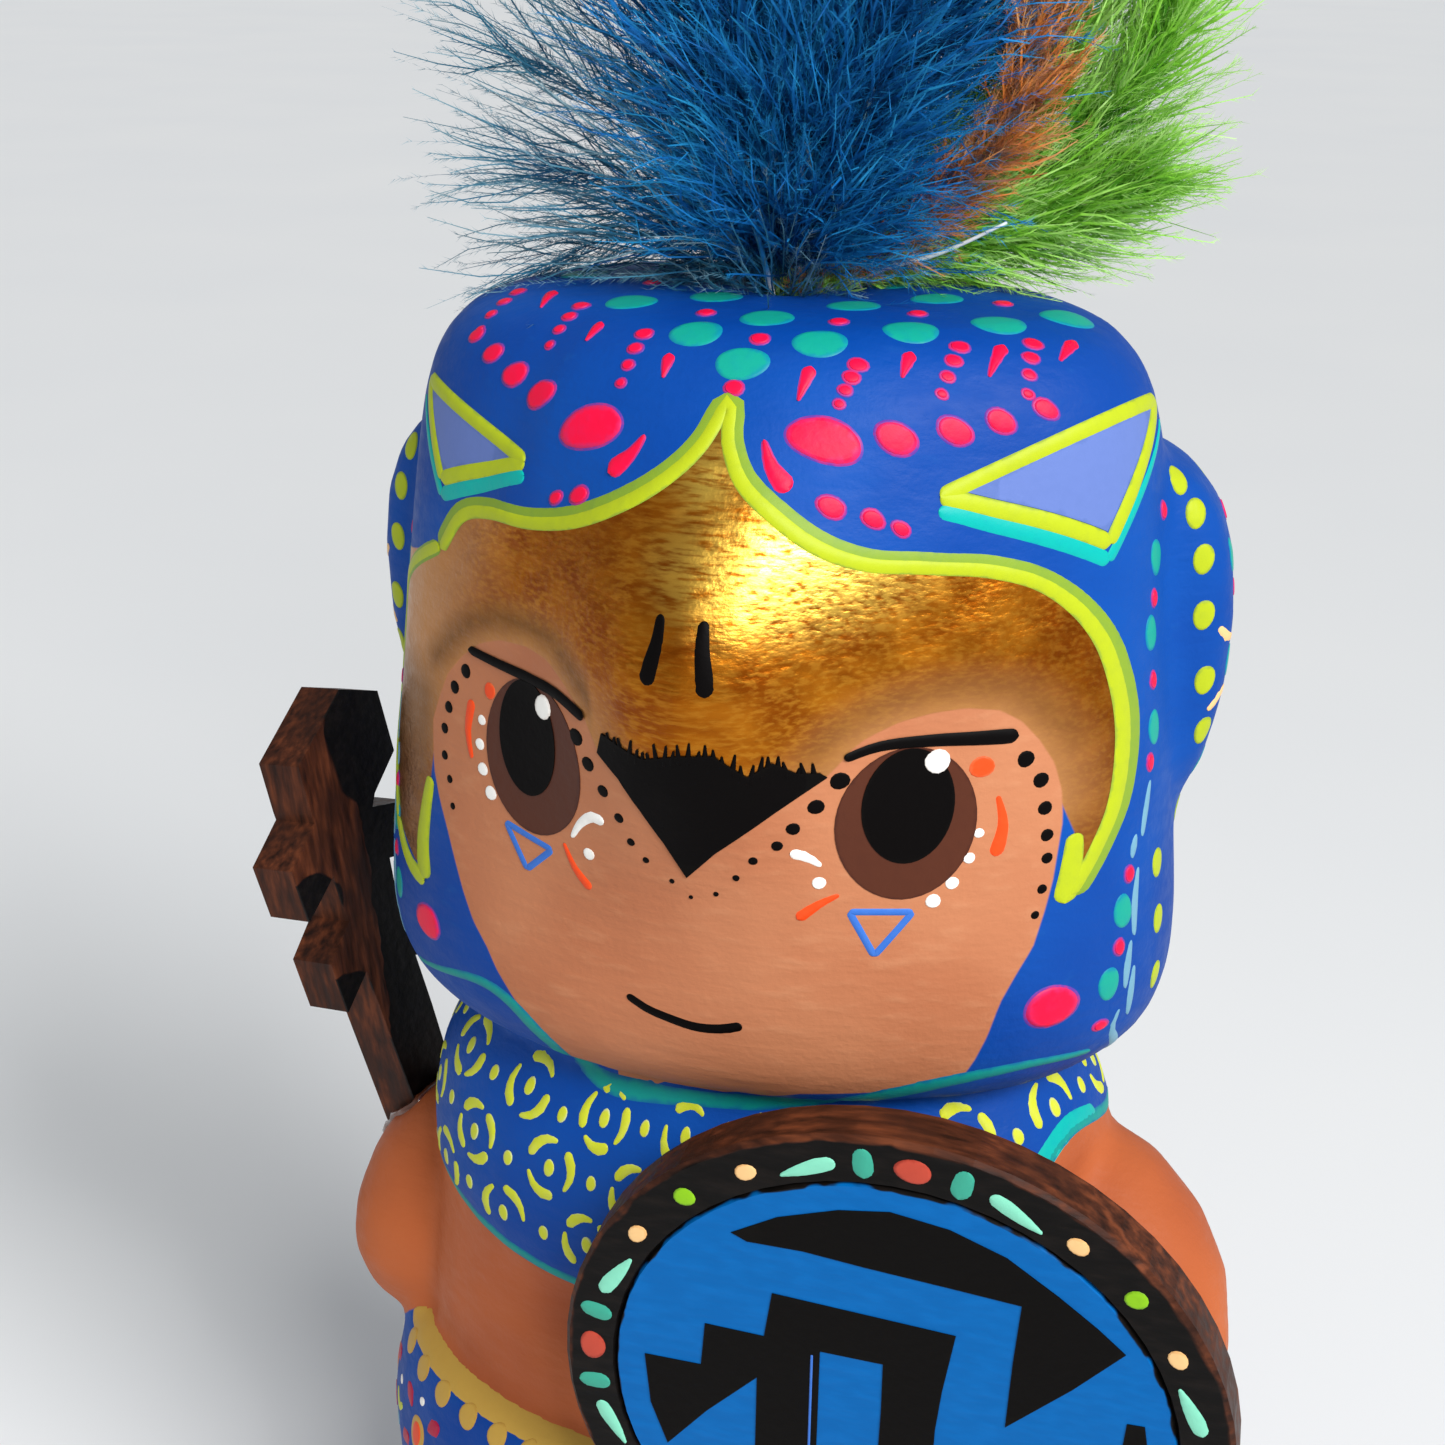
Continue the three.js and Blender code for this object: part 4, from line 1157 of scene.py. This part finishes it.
def paint_skirt():
    """The skirt: an ochre edge with round lobes, then flowers in crimson and vermilion."""
    ochre, white, crimson, orange, teal, lime = (
        coats[k] for k in ("ochre", "white", "crimson", "orange", "thin_teal", "pale_lime"))
    line_round(ochre, skirt, lambda angle: SKIRT_EDGE - 0.9, 3)
    lobe, lobe_gap = 3.3, 5.6
    for k in range(round(2 * math.pi * skirt.radius / lobe_gap)):
        u = k * lobe_gap - math.pi * skirt.radius
        if clear_of_arms(skirt, u, SKIRT_EDGE - 3.2, 1.2):
            ochre.dot(skirt, u, SKIRT_EDGE - 3.2, lobe, lobe * 1.1)
    across = 15.3
    for row, v in enumerate((-104, -118)):
        for k in range(round(2 * math.pi * skirt.radius / across)):
            u = (k + 0.5 * (row % 2)) * across - math.pi * skirt.radius
            if not clear_of_arms(skirt, u, v + 4, 2):
                continue
            ochre.dot(skirt, u, v, 3.7, 5.4)
            orange.dot(skirt, u, v, 2.2, 3.8, 0, 2)
            for turn in (40, 140, 220, 320):
                c, s = math.cos(math.radians(turn)), math.sin(math.radians(turn))
                crimson.stroke(skirt, [(u + 3.2 * c, v + 3.6 * s), (u + 4.8 * c, v + 5.4 * s),
                                       (u + 6.2 * c, v + 7.0 * s)], (1.0, 3.0, 1.6))
            white.dot(skirt, u, v + 5, 1.2)
            white.dot(skirt, u, v - 5, 1.1)
            between = u + across / 2
            lime.stroke(skirt, arc(between, v + 0.4, 1.9, 200, 340), (0.9, 1.4, 1.4, 0.9))
            coats["mist"].stroke(skirt, [(between, v - 2.8), (between, v - 5)], (1.6, 1.1))
            white.dot(skirt, between, v + 2.4, 1.3)
    for k in range(round(2 * math.pi * skirt.radius / lobe_gap)):
        ochre.dot(skirt, k * lobe_gap - math.pi * skirt.radius, -128, 1.9)
    line_round(teal, skirt, lambda angle: -131.6, 1.4)


def paint_sides():
    """Lime drops round the mane and a chain of fuchsia and teal down each side of the head."""
    lime, mist, peach, teal = (coats[k] for k in ("lime", "mist", "peach", "teal"))
    for side, view in ((1, right_side), (-1, left_side)):
        for k, (x, y, z) in enumerate(seen_on_skin(*pixel) for pixel in MANE_RIM_PIXELS):
            thin = 0.7 if k in (6, 7) else 1
            lime.dot(Spot(side * x, y, z - HEAD_MIDDLE), 0, 0, 2.7 * thin, 3.6, -8 * side)
        for chain in SIDE_CHAIN_PIXELS:
            for k, (y, z) in enumerate(right_side.seen(chain)):
                if k % 2:
                    teal.dot(view, side * y, z, 2.7, 4.2)
                else:
                    haloed_dot(view, side * y, z, 1.3, 1.9)
        for pixels in SIDE_LENS_PIXELS:
            points = [(side * y, z) for y, z in right_side.seen(pixels)]
            mist.stroke(view, points, 1.6, 1, (0.4, 0.5))
        for z in (16, 3.6, -9):
            teal.dot(view, side * 5.4, z, 2.8, 4)
        for z, bend in ((8.6, -1), (-1.4, 1)):
            peach.stroke(view, [(side * 1.6, z), (side * 3, z + bend * 1.4), (side * 5, z + bend * 2)],
                         (0.9, 1.5, 1.0))
        for k in range(5):
            haloed_dot(view, side * 9.5, 20 - 9 * k, 1.5, 2.2)
            lime.dot(view, side * 13.5, 23 - 9 * k, 2.4, 3.2)
    for (u, v), size in zip(front.seen(CHEEK_DOT_PIXELS), (4.3, 5.2)):
        haloed_dot(front, u, v, size, size * 0.94)
    haloed_dot(front, *front.seen([SMALL_CHEEK_DOT_PIXEL])[0], 1.2, 1.2)
    coats["thin_teal"].stroke(front, front.seen(CHIN_PIXELS),
                              (0.8, 1.4, 2.2, 3.0, 3.0, 2.4, 2.4, 2.8, 2.6, 1.8, 1.2))


def paint_back():
    """Behind the head: rows of teal ovals with fuchsia dots between, plainer than the crown."""
    teal, lime = coats["teal"], coats["lime"]
    for row in range(6):
        v = 25 - 11 * row
        shift = 6 * (row % 2)
        for k in range(-3, 4):
            u = 12 * k + shift
            if abs(u) > 33:
                continue
            teal.dot(behind, u, v, 5.2, 3.8)
            if abs(u + 6) < 33:
                haloed_dot(behind, u + 6, v, 1.7, 1.7)
    for k in range(9):
        for side in (-1, 1):
            lime.dot(behind, side * 40, 22 - 6.6 * k, 2.4, 3.2)


def paint_shield(board):
    """A stepped fret on the blue field, and on the border the same run of marks four times."""
    black = coats["shield_black"]
    crescent = board.seen(FRET_CRESCENT_PIXELS)
    foot = -14.4
    steps = board.seen(FRET_UPPER_STEP_PIXELS) + [(4.8, foot), (-1.3, foot)]
    inner = board.seen(FRET_INNER_PIXELS)
    steps += inner + [(-8.2, foot), (-15.2, foot)]
    steps += board.seen(FRET_WEDGE_PIXELS)
    low_crescent = [(-x, -y) for x, y in crescent[:8]] + [(-6, -20.2), (8, -21)]
    right_steps = board.seen(FRET_RIGHT_STEP_PIXELS)
    right_steps += [(28.5, -0.5), (28, -6.5), (25, -12.5), (19.5, -12.5), (19.5, -6.5), (25, -6.5)]
    for outline in (crescent, steps, low_crescent, right_steps):
        black.area(board, outline, 1, 0.5)
    across, top = inner[2]
    coats["sky"].stroke(board, [(across - 0.9, top - 0.7), (across - 1.4, foot + 0.8)], 0.35, 2)
    middle, turn = 34, 3.5

    def spot(degrees, radius=middle):
        a = math.radians(degrees)
        return radius * math.sin(a), radius * math.cos(a)

    for quarter in range(4):
        at = turn + 90 * quarter
        coats["brick"].dot(board, *spot(at), 4.1, 3.1, -at)
        for side in (-1, 1):
            coats["sea"].stroke(board, [spot(at + side * 8.8, 32.2), spot(at + side * 8.8, 35.9)],
                                (3.0, 2.5))
            comet = [spot(at + side * d, middle - 0.4 * k) for k, d in enumerate((13.8, 17, 20, 24.8))]
            coats["mint"].stroke(board, comet, (2.1, 2.3, 1.7, 0.5))
            coats["peach"].dot(board, *spot(at + side * 31), 2.6, 2.1, -at - side * 31)
        coats["leaf"].dot(board, *spot(at + 45), 2.6, 2.4)


paint_eyes()
paint_face_marks()
paint_beak()
paint_brow_edge()
paint_crown()
paint_brow_triangles()
paint_cape()
paint_skirt()
paint_sides()
paint_back()
paint_shield(shield_board)

for coat in coats.values():
    coat.build()


# The plume: tufts of dyed down, each a shaft with barbs, each barb with fine hairs

# Each down's colours run from root to body to end: painted shade at the root, painted light through
# the thin ends.
DOWN = {
    "blue": dyed_down_painted_shade_and_glow("blue_dyed_down", "#04305A", "#0560A4", "#1E84B4"),
    "grey": dyed_down_painted_shade_and_glow("thin_blue_down", "#0A4C74", "#34748E", "#7F9BA4"),
    "orange": dyed_down_painted_shade_and_glow("orange_dyed_down", "#6A5450", "#BC6A28", "#CC9A64"),
    "green": dyed_down_painted_shade_and_glow("green_dyed_down", "#4A9A24", "#86C83C", "#B4E084"),
}


def feather(shaft, barbs, reach, spread, seed, hairs=56, hair=2.3, broad=0.085, crowd=1.25,
            bare=0.0):
    """Points, faces and shade for one feather. shaft is its path over the crown's middle, reach
    the barbs' length at its foot, middle and tip, spread their angle to the shaft at its foot
    and tip, broad half their width, crowd how much they gather at the foot, and bare the share
    of the shaft without barbs."""
    flat, droop, rise = 0.5, 0.04, 0.5
    rng = np.random.RandomState(seed)
    line = np.array([tuple(p) for p in smooth_line([Vector(p) for p in shaft], step=1.0)])
    line[:, 2] += CROWN
    tangents = np.gradient(line, axis=0)
    tangents /= np.linalg.norm(tangents, axis=1)[:, None]
    t = bare + (1 - bare) * np.sort(rng.uniform(0.0, 1.0, barbs) ** crowd)
    index = np.clip((t * (len(line) - 1)).astype(int), 0, len(line) - 1)
    root, along = line[index], tangents[index]
    plane = np.array([0.25, -1.0, 0.1])
    side = np.cross(along, plane)
    side /= np.linalg.norm(side, axis=1)[:, None]
    depth = np.cross(side, along)
    turn = rng.choice([0, math.pi], barbs) + rng.normal(0, 1.5 - flat, barbs)
    angle = np.radians(np.interp(t, [0, 1], spread) + rng.normal(0, 7, barbs))
    out = side * np.cos(turn)[:, None] + depth * np.sin(turn)[:, None]
    way = along * np.cos(angle)[:, None] + out * np.sin(angle)[:, None]
    length = np.interp(t, [0, 0.45, 1], reach) * rng.uniform(0.7, 1.12, barbs)
    rising = rise * np.clip(0.15 + 1.6 * t, 0, 1)[:, None]
    bend = along * rising + np.array([0, 0, -droop]) + rng.normal(0, 0.1, (barbs, 3))
    steps = 6
    share = np.linspace(0, 1, steps)
    curl = rng.normal(0, 0.05, (barbs, 1, 3)) * np.sin(share * 7)[None, :, None]
    spine = root[:, None] + length[:, None, None] * (
        way[:, None] * share[None, :, None] + bend[:, None] * share[None, :, None] ** 2 + curl)
    run = np.gradient(spine, axis=1)
    run /= np.linalg.norm(run, axis=2)[:, :, None]
    across = np.cross(run, rng.normal(0, 1, (barbs, 1, 3)))
    across /= np.linalg.norm(across, axis=2)[:, :, None]
    swell = np.sin(math.pi * np.clip(share * 0.75 + 0.2, 0, 1)) ** 0.8
    half = (broad * swell + 0.015)[None, :, None]
    ribbon = np.concatenate([spine - across * half, spine + across * half], axis=2)
    points = ribbon.reshape(-1, 3)
    shade = rng.uniform(-0.16, 0.16, barbs)
    values = (shade[:, None] + np.repeat(share * 0.8, 2)).ravel()
    foot = (np.arange(barbs) * steps * 2)[:, None, None] + (np.arange(steps - 1) * 2)[:, None]
    faces = (foot + np.array([0, 1, 3, 2])).reshape(-1, 4).tolist()
    places = rng.uniform(0.05, 1.0, (barbs, hairs))
    low = np.minimum((places * (steps - 1)).astype(int), steps - 2)
    part = (places * (steps - 1) - low)[:, :, None]
    rows = np.arange(barbs)[:, None]
    base = spine[rows, low] * (1 - part) + spine[rows, low + 1] * part
    flow = run[rows, low]
    fly = np.cross(flow, rng.normal(0, 1, (barbs, hairs, 3)))
    fly /= np.linalg.norm(fly, axis=2)[:, :, None]
    size = hair * (1.05 - 0.5 * places) * rng.uniform(0.6, 1.2, (barbs, hairs))
    tip = base + (flow * 0.84 + fly * 0.54) * size[:, :, None]
    width = 0.055
    hair_points = np.stack([base - flow * width, base + flow * width, tip], axis=2)
    first = len(points)
    hair_faces = (np.arange(barbs * hairs * 3).reshape(-1, 3) + first).tolist()
    level = places * 0.8 + shade[:, None]
    hair_values = np.stack([level, level, level + 0.2], axis=2)
    points = np.concatenate([points, hair_points.reshape(-1, 3)])
    values = np.concatenate([values, hair_values.ravel()])
    return points, faces + hair_faces, values


def tuft(name, colour, stands_for, feathers):
    """Several feathers of one colour joined into one piece."""
    points, faces, values = [], [], []
    count = 0
    for one in feathers:
        p, f, v = feather(**one)
        points.append(p)
        values.append(v)
        faces.extend([[i + count for i in face] for face in f])
        count += len(p)
    piece = new_piece(name, np.concatenate(points), faces, DOWN[colour],
                      {"along": np.concatenate(values)}, smooth=False)
    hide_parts(stands_for)
    return piece


def shaft_path(lean, back, length, curve=0.25):
    """A shaft that leaves the hole upright and leans over to one side, in degrees."""
    a, b = math.radians(lean), math.radians(back)
    points = [(0, 0, -4), (math.sin(a) * 1.2, math.sin(b) * 1.2, 2)]
    for share in (0.3, 0.65, 1.0):
        turn = a * (1 + curve * share)
        reach = length * share
        points.append((math.sin(turn) * reach, math.sin(b) * reach,
                       math.cos(turn) * math.cos(b) * reach + 2))
    return points


def plume():
    """Blue down in three layers with thin wisps to the figure's right, then orange, then green."""
    leans = (-15, -6, 3, 12, 20, 27)
    blue_front = [dict(shaft=shaft_path(lean, -8 + 3 * (k % 2), 64 + 6 * (k % 3)), barbs=400,
                       reach=(18, 18, 11), spread=(80, 24), seed=11 + k, bare=0.12)
                  for k, lean in enumerate(leans)]
    blue_back = [dict(shaft=shaft_path(lean, 9, 72), barbs=400, reach=(18, 19, 12),
                      spread=(82, 26), seed=31 + k, bare=0.08)
                 for k, lean in enumerate((-18, -7, 4, 14, 24))]
    blue_under = [dict(shaft=shaft_path(lean, back_lean, 62), barbs=700, reach=(15, 15, 9),
                       spread=(76, 22), seed=131 + k, hairs=24, hair=2.4, broad=0.19, crowd=1.1,
                       bare=0.12)
                  for k, (lean, back_lean) in enumerate(
                      ((-17, -5), (-8, 6), (0, -6), (8, 6), (16, -5), (25, 2)))]
    grey = [dict(shaft=shaft_path(lean, back_lean, length, 0.3), barbs=150, reach=(16, 18, 12),
                 spread=(58, 22), seed=51 + k, hairs=64, hair=1.9)
            for k, (lean, back_lean, length) in enumerate(
                ((-30, -3, 46), (-42, 3, 36), (-54, -2, 30), (-68, 2, 25), (-80, 1, 21)))]
    orange_shafts = [
        [(1, 0, -4), (4, 0.5, 2), (14, 1, 8), (23, 1, 18), (26, 1, 34), (26, 2, 50)],
        [(1, 0, -4), (4, 1, 2), (16, 3, 9), (26, 4, 22), (28, 4, 36), (28, 4, 54)],
    ]
    orange = [dict(shaft=path, barbs=330, reach=(4, 7, 6), spread=(56, 30), seed=71 + k,
                   broad=0.12, crowd=0.8)
              for k, path in enumerate(orange_shafts)]
    green_shafts = [
        [(1, 0.5, -4), (4, 3, 2), (15, 9, 9), (26, 11, 21), (32, 9, 40), (32, 8, 60)],
        [(1, 0.5, -4), (4, 3, 2), (17, 10, 7), (30, 12, 15), (38, 10, 28), (40, 9, 42)],
        [(1, 0.5, -4), (4, 3, 2), (13, 8, 12), (23, 10, 28), (28, 9, 46), (28, 8, 62)],
        [(1, 0.5, -4), (4, 3, 2), (17, 8, 5), (28, 9, 8), (36, 8, 12)],
    ]
    green = [dict(shaft=path, barbs=count, reach=(5, 13, 9), spread=(56, 30), seed=91 + k,
                  crowd=0.8)
             for k, (path, count) in enumerate(zip(green_shafts, (460, 420, 420, 340)))]
    green_under = [dict(shaft=path, barbs=520, reach=(6, 11, 7), spread=(56, 28), seed=191 + k,
                        hairs=24, hair=2.2, broad=0.17, crowd=0.8)
                   for k, path in enumerate(green_shafts)]
    tuft("plume_blue_front", "blue", "plume_blue", blue_front)
    tuft("plume_blue_back", "blue", "plume_blue", blue_back)
    tuft("plume_blue_under", "blue", "plume_blue", blue_under)
    tuft("plume_grey_wisps", "grey", "plume_blue", grey)
    tuft("plume_orange", "orange", "plume_green", orange)
    tuft("plume_green_down", "green", "plume_green", green)
    tuft("plume_green_under", "green", "plume_green", green_under)


plume()


# Wood pieces keep their solids

for name, board, axis, paint in (("shield", shield_board, 0, shield_paint),
                                 ("club", club_board, 2, club_paint)):
    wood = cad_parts[name]
    wood.data.materials.clear()
    wood.data.materials.append(painted_wood("stained_and_painted_" + name, board, axis, paint))


def tube(line, radii, lean, sides=8, closed=False):
    """Points and faces of a tube along a line, its ends capped, or joined to each other."""
    count = len(line)
    points, faces = [], []
    for k, (spot, radius) in enumerate(zip(line, radii)):
        before = line[k - 1] if closed or k else spot
        after = line[(k + 1) % count] if closed or k < count - 1 else spot
        side = (after - before).cross(lean).normalized()
        other = (after - before).cross(side).normalized()
        for s in range(sides):
            a = 2 * math.pi * s / sides
            points.append(spot + (side * math.cos(a) + other * math.sin(a)) * radius)
    for k in range(count if closed else count - 1):
        n = (k + 1) % count
        for s in range(sides):
            t = (s + 1) % sides
            faces.append((k * sides + s, k * sides + t, n * sides + t, n * sides + s))
    if not closed:
        faces.append(tuple(range(sides))[::-1])
        faces.append(tuple(range((count - 1) * sides, count * sides)))
    return points, faces


def glue_bead():
    """A lumpy ring of dried glue where the club's handle stands in the fist."""
    half_across, half_out, board_middle = 5.4, 4.1, 3.25
    around = 40
    line, radii = [], []
    for k in range(around):
        c, s = (f(2 * math.pi * k / around) for f in (math.cos, math.sin))
        reach = (abs(c / half_across) ** 5 + abs(s / half_out) ** 5) ** -0.2
        high = 14
        start = club_board.middle + club_board.right * c * reach + club_board.up * high \
            + club_board.out * (s * reach - board_middle)
        deepest = 24
        spot = skin_tree.ray_cast(start, -club_board.up, deepest)[0]
        if spot is None:
            spot = skin_tree.find_nearest(start - club_board.up * (deepest - 6))[0]
        line.append(spot)
        radii.append(0.75 + 0.25 * math.sin(3.1 * k) * math.sin(k * 0.55))
    points, faces = tube(line, radii, club_board.up, closed=True)
    new_piece("glue_bead", points, faces, dried_glue())


def quill(name, path, radius, dyed, stands_for, material):
    """A bare quill, thinner and more dyed towards its upper end. path is over the crown's
    middle."""
    line = [p + Vector((0, 0, CROWN)) for p in smooth_line([Vector(p) for p in path], step=1.5)]
    share = np.linspace(0, 1, len(line))
    points, faces = tube(line, radius * (1 - 0.6 * share), Vector((0, 1, 0.2)))
    piece = new_piece(name, points, faces, material, {"along": np.repeat(share * dyed, 8)})
    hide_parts(stands_for)


glue_bead()
bare_quill = feather_quill()
quill("quill_front", [(-0.5, -1.8, -3), (-0.9, -5, 2.5), (-1.4, -8.5, 8.5)], 0.5, 1,
      "plume_blue", bare_quill)
quill("quill_side", [(2.2, 0.6, -3), (9, 1.5, 1.6), (17, 1.2, 4.4), (24, 1.4, 8)], 0.42, 0.35,
      "plume_green", bare_quill)


# Studio

def studio():
    """A plain pale floor under a soft room, with broad daylight from the right, a window in
    front of it and a weak fill."""
    side = 60000
    floor = bpy.data.objects.new("floor", bpy.data.meshes.new("floor"))
    corners = [(-side, -side), (side, -side), (side, side), (-side, side)]
    floor.data.from_pydata([(x * MM, y * MM, 0) for x, y in corners], [], [(0, 1, 2, 3)])
    # Matt paper: no gloss, with the faintest grey cloud.
    material, tree, place = new_material("pale_matt_paper")
    cloud = noise_of(tree, place, 160, 2)
    colour = mixed(tree, cloud, linear("#E8E9EA"), linear("#EEEEED"))
    finish_material(tree, put(tree, "ShaderNodeBsdfPrincipled", {
        "Base Color": colour, "Roughness": 0.9}))
    floor.data.materials.append(material)
    bpy.context.scene.collection.objects.link(floor)
    world = bpy.data.worlds.new("soft_room")
    world.use_nodes = True
    world.node_tree.nodes["Background"].inputs["Color"].default_value = linear("#D8DCE0")
    world.node_tree.nodes["Background"].inputs["Strength"].default_value = 0.55
    bpy.context.scene.world = world
    aim = Vector((0, 0, HEAD_MIDDLE))
    for name, kind, spot, size, power in (
            ("window", "AREA", (190, -290, 400), 130 * MM, 1.1),
            ("daylight", "SUN", (600, -330, 640), math.radians(24), 2.5),
            ("fill", "AREA", (-420, -160, 260), 380 * MM, 0.05)):
        light = bpy.data.lights.new(name, kind)
        light.energy = power
        if kind == "SUN":
            light.angle = size
        else:
            light.shape = "SQUARE"
            light.size = size
        lamp = bpy.data.objects.new(name, light)
        lamp.location = Vector(spot) * MM
        lamp.rotation_mode = "QUATERNION"
        lamp.rotation_quaternion = (aim - Vector(spot)).to_track_quat("-Z", "Y")
        bpy.context.scene.collection.objects.link(lamp)


def camera():
    """The photo's view, from the same axes and distance that the painted places use."""
    right, up, back = camera_axes()
    lens = bpy.data.cameras.new("phone")
    lens.sensor_width = SENSOR_WIDTH
    lens.lens = SENSOR_WIDTH * FOCAL_LENGTH_PIXELS / PHOTO_SIDE
    lens.clip_start = 0.01
    holder = bpy.data.objects.new("phone", lens)
    axes = Matrix((right, up, back)).transposed().to_4x4()
    spot = (AIM_POINT + back * CAMERA_DISTANCE) * MM
    holder.matrix_world = Matrix.Translation(spot) @ axes
    bpy.context.scene.collection.objects.link(holder)
    bpy.context.scene.camera = holder


studio()
camera()
bpy.context.scene.view_settings.view_transform = "Standard"

bpy.context.view_layer.update()
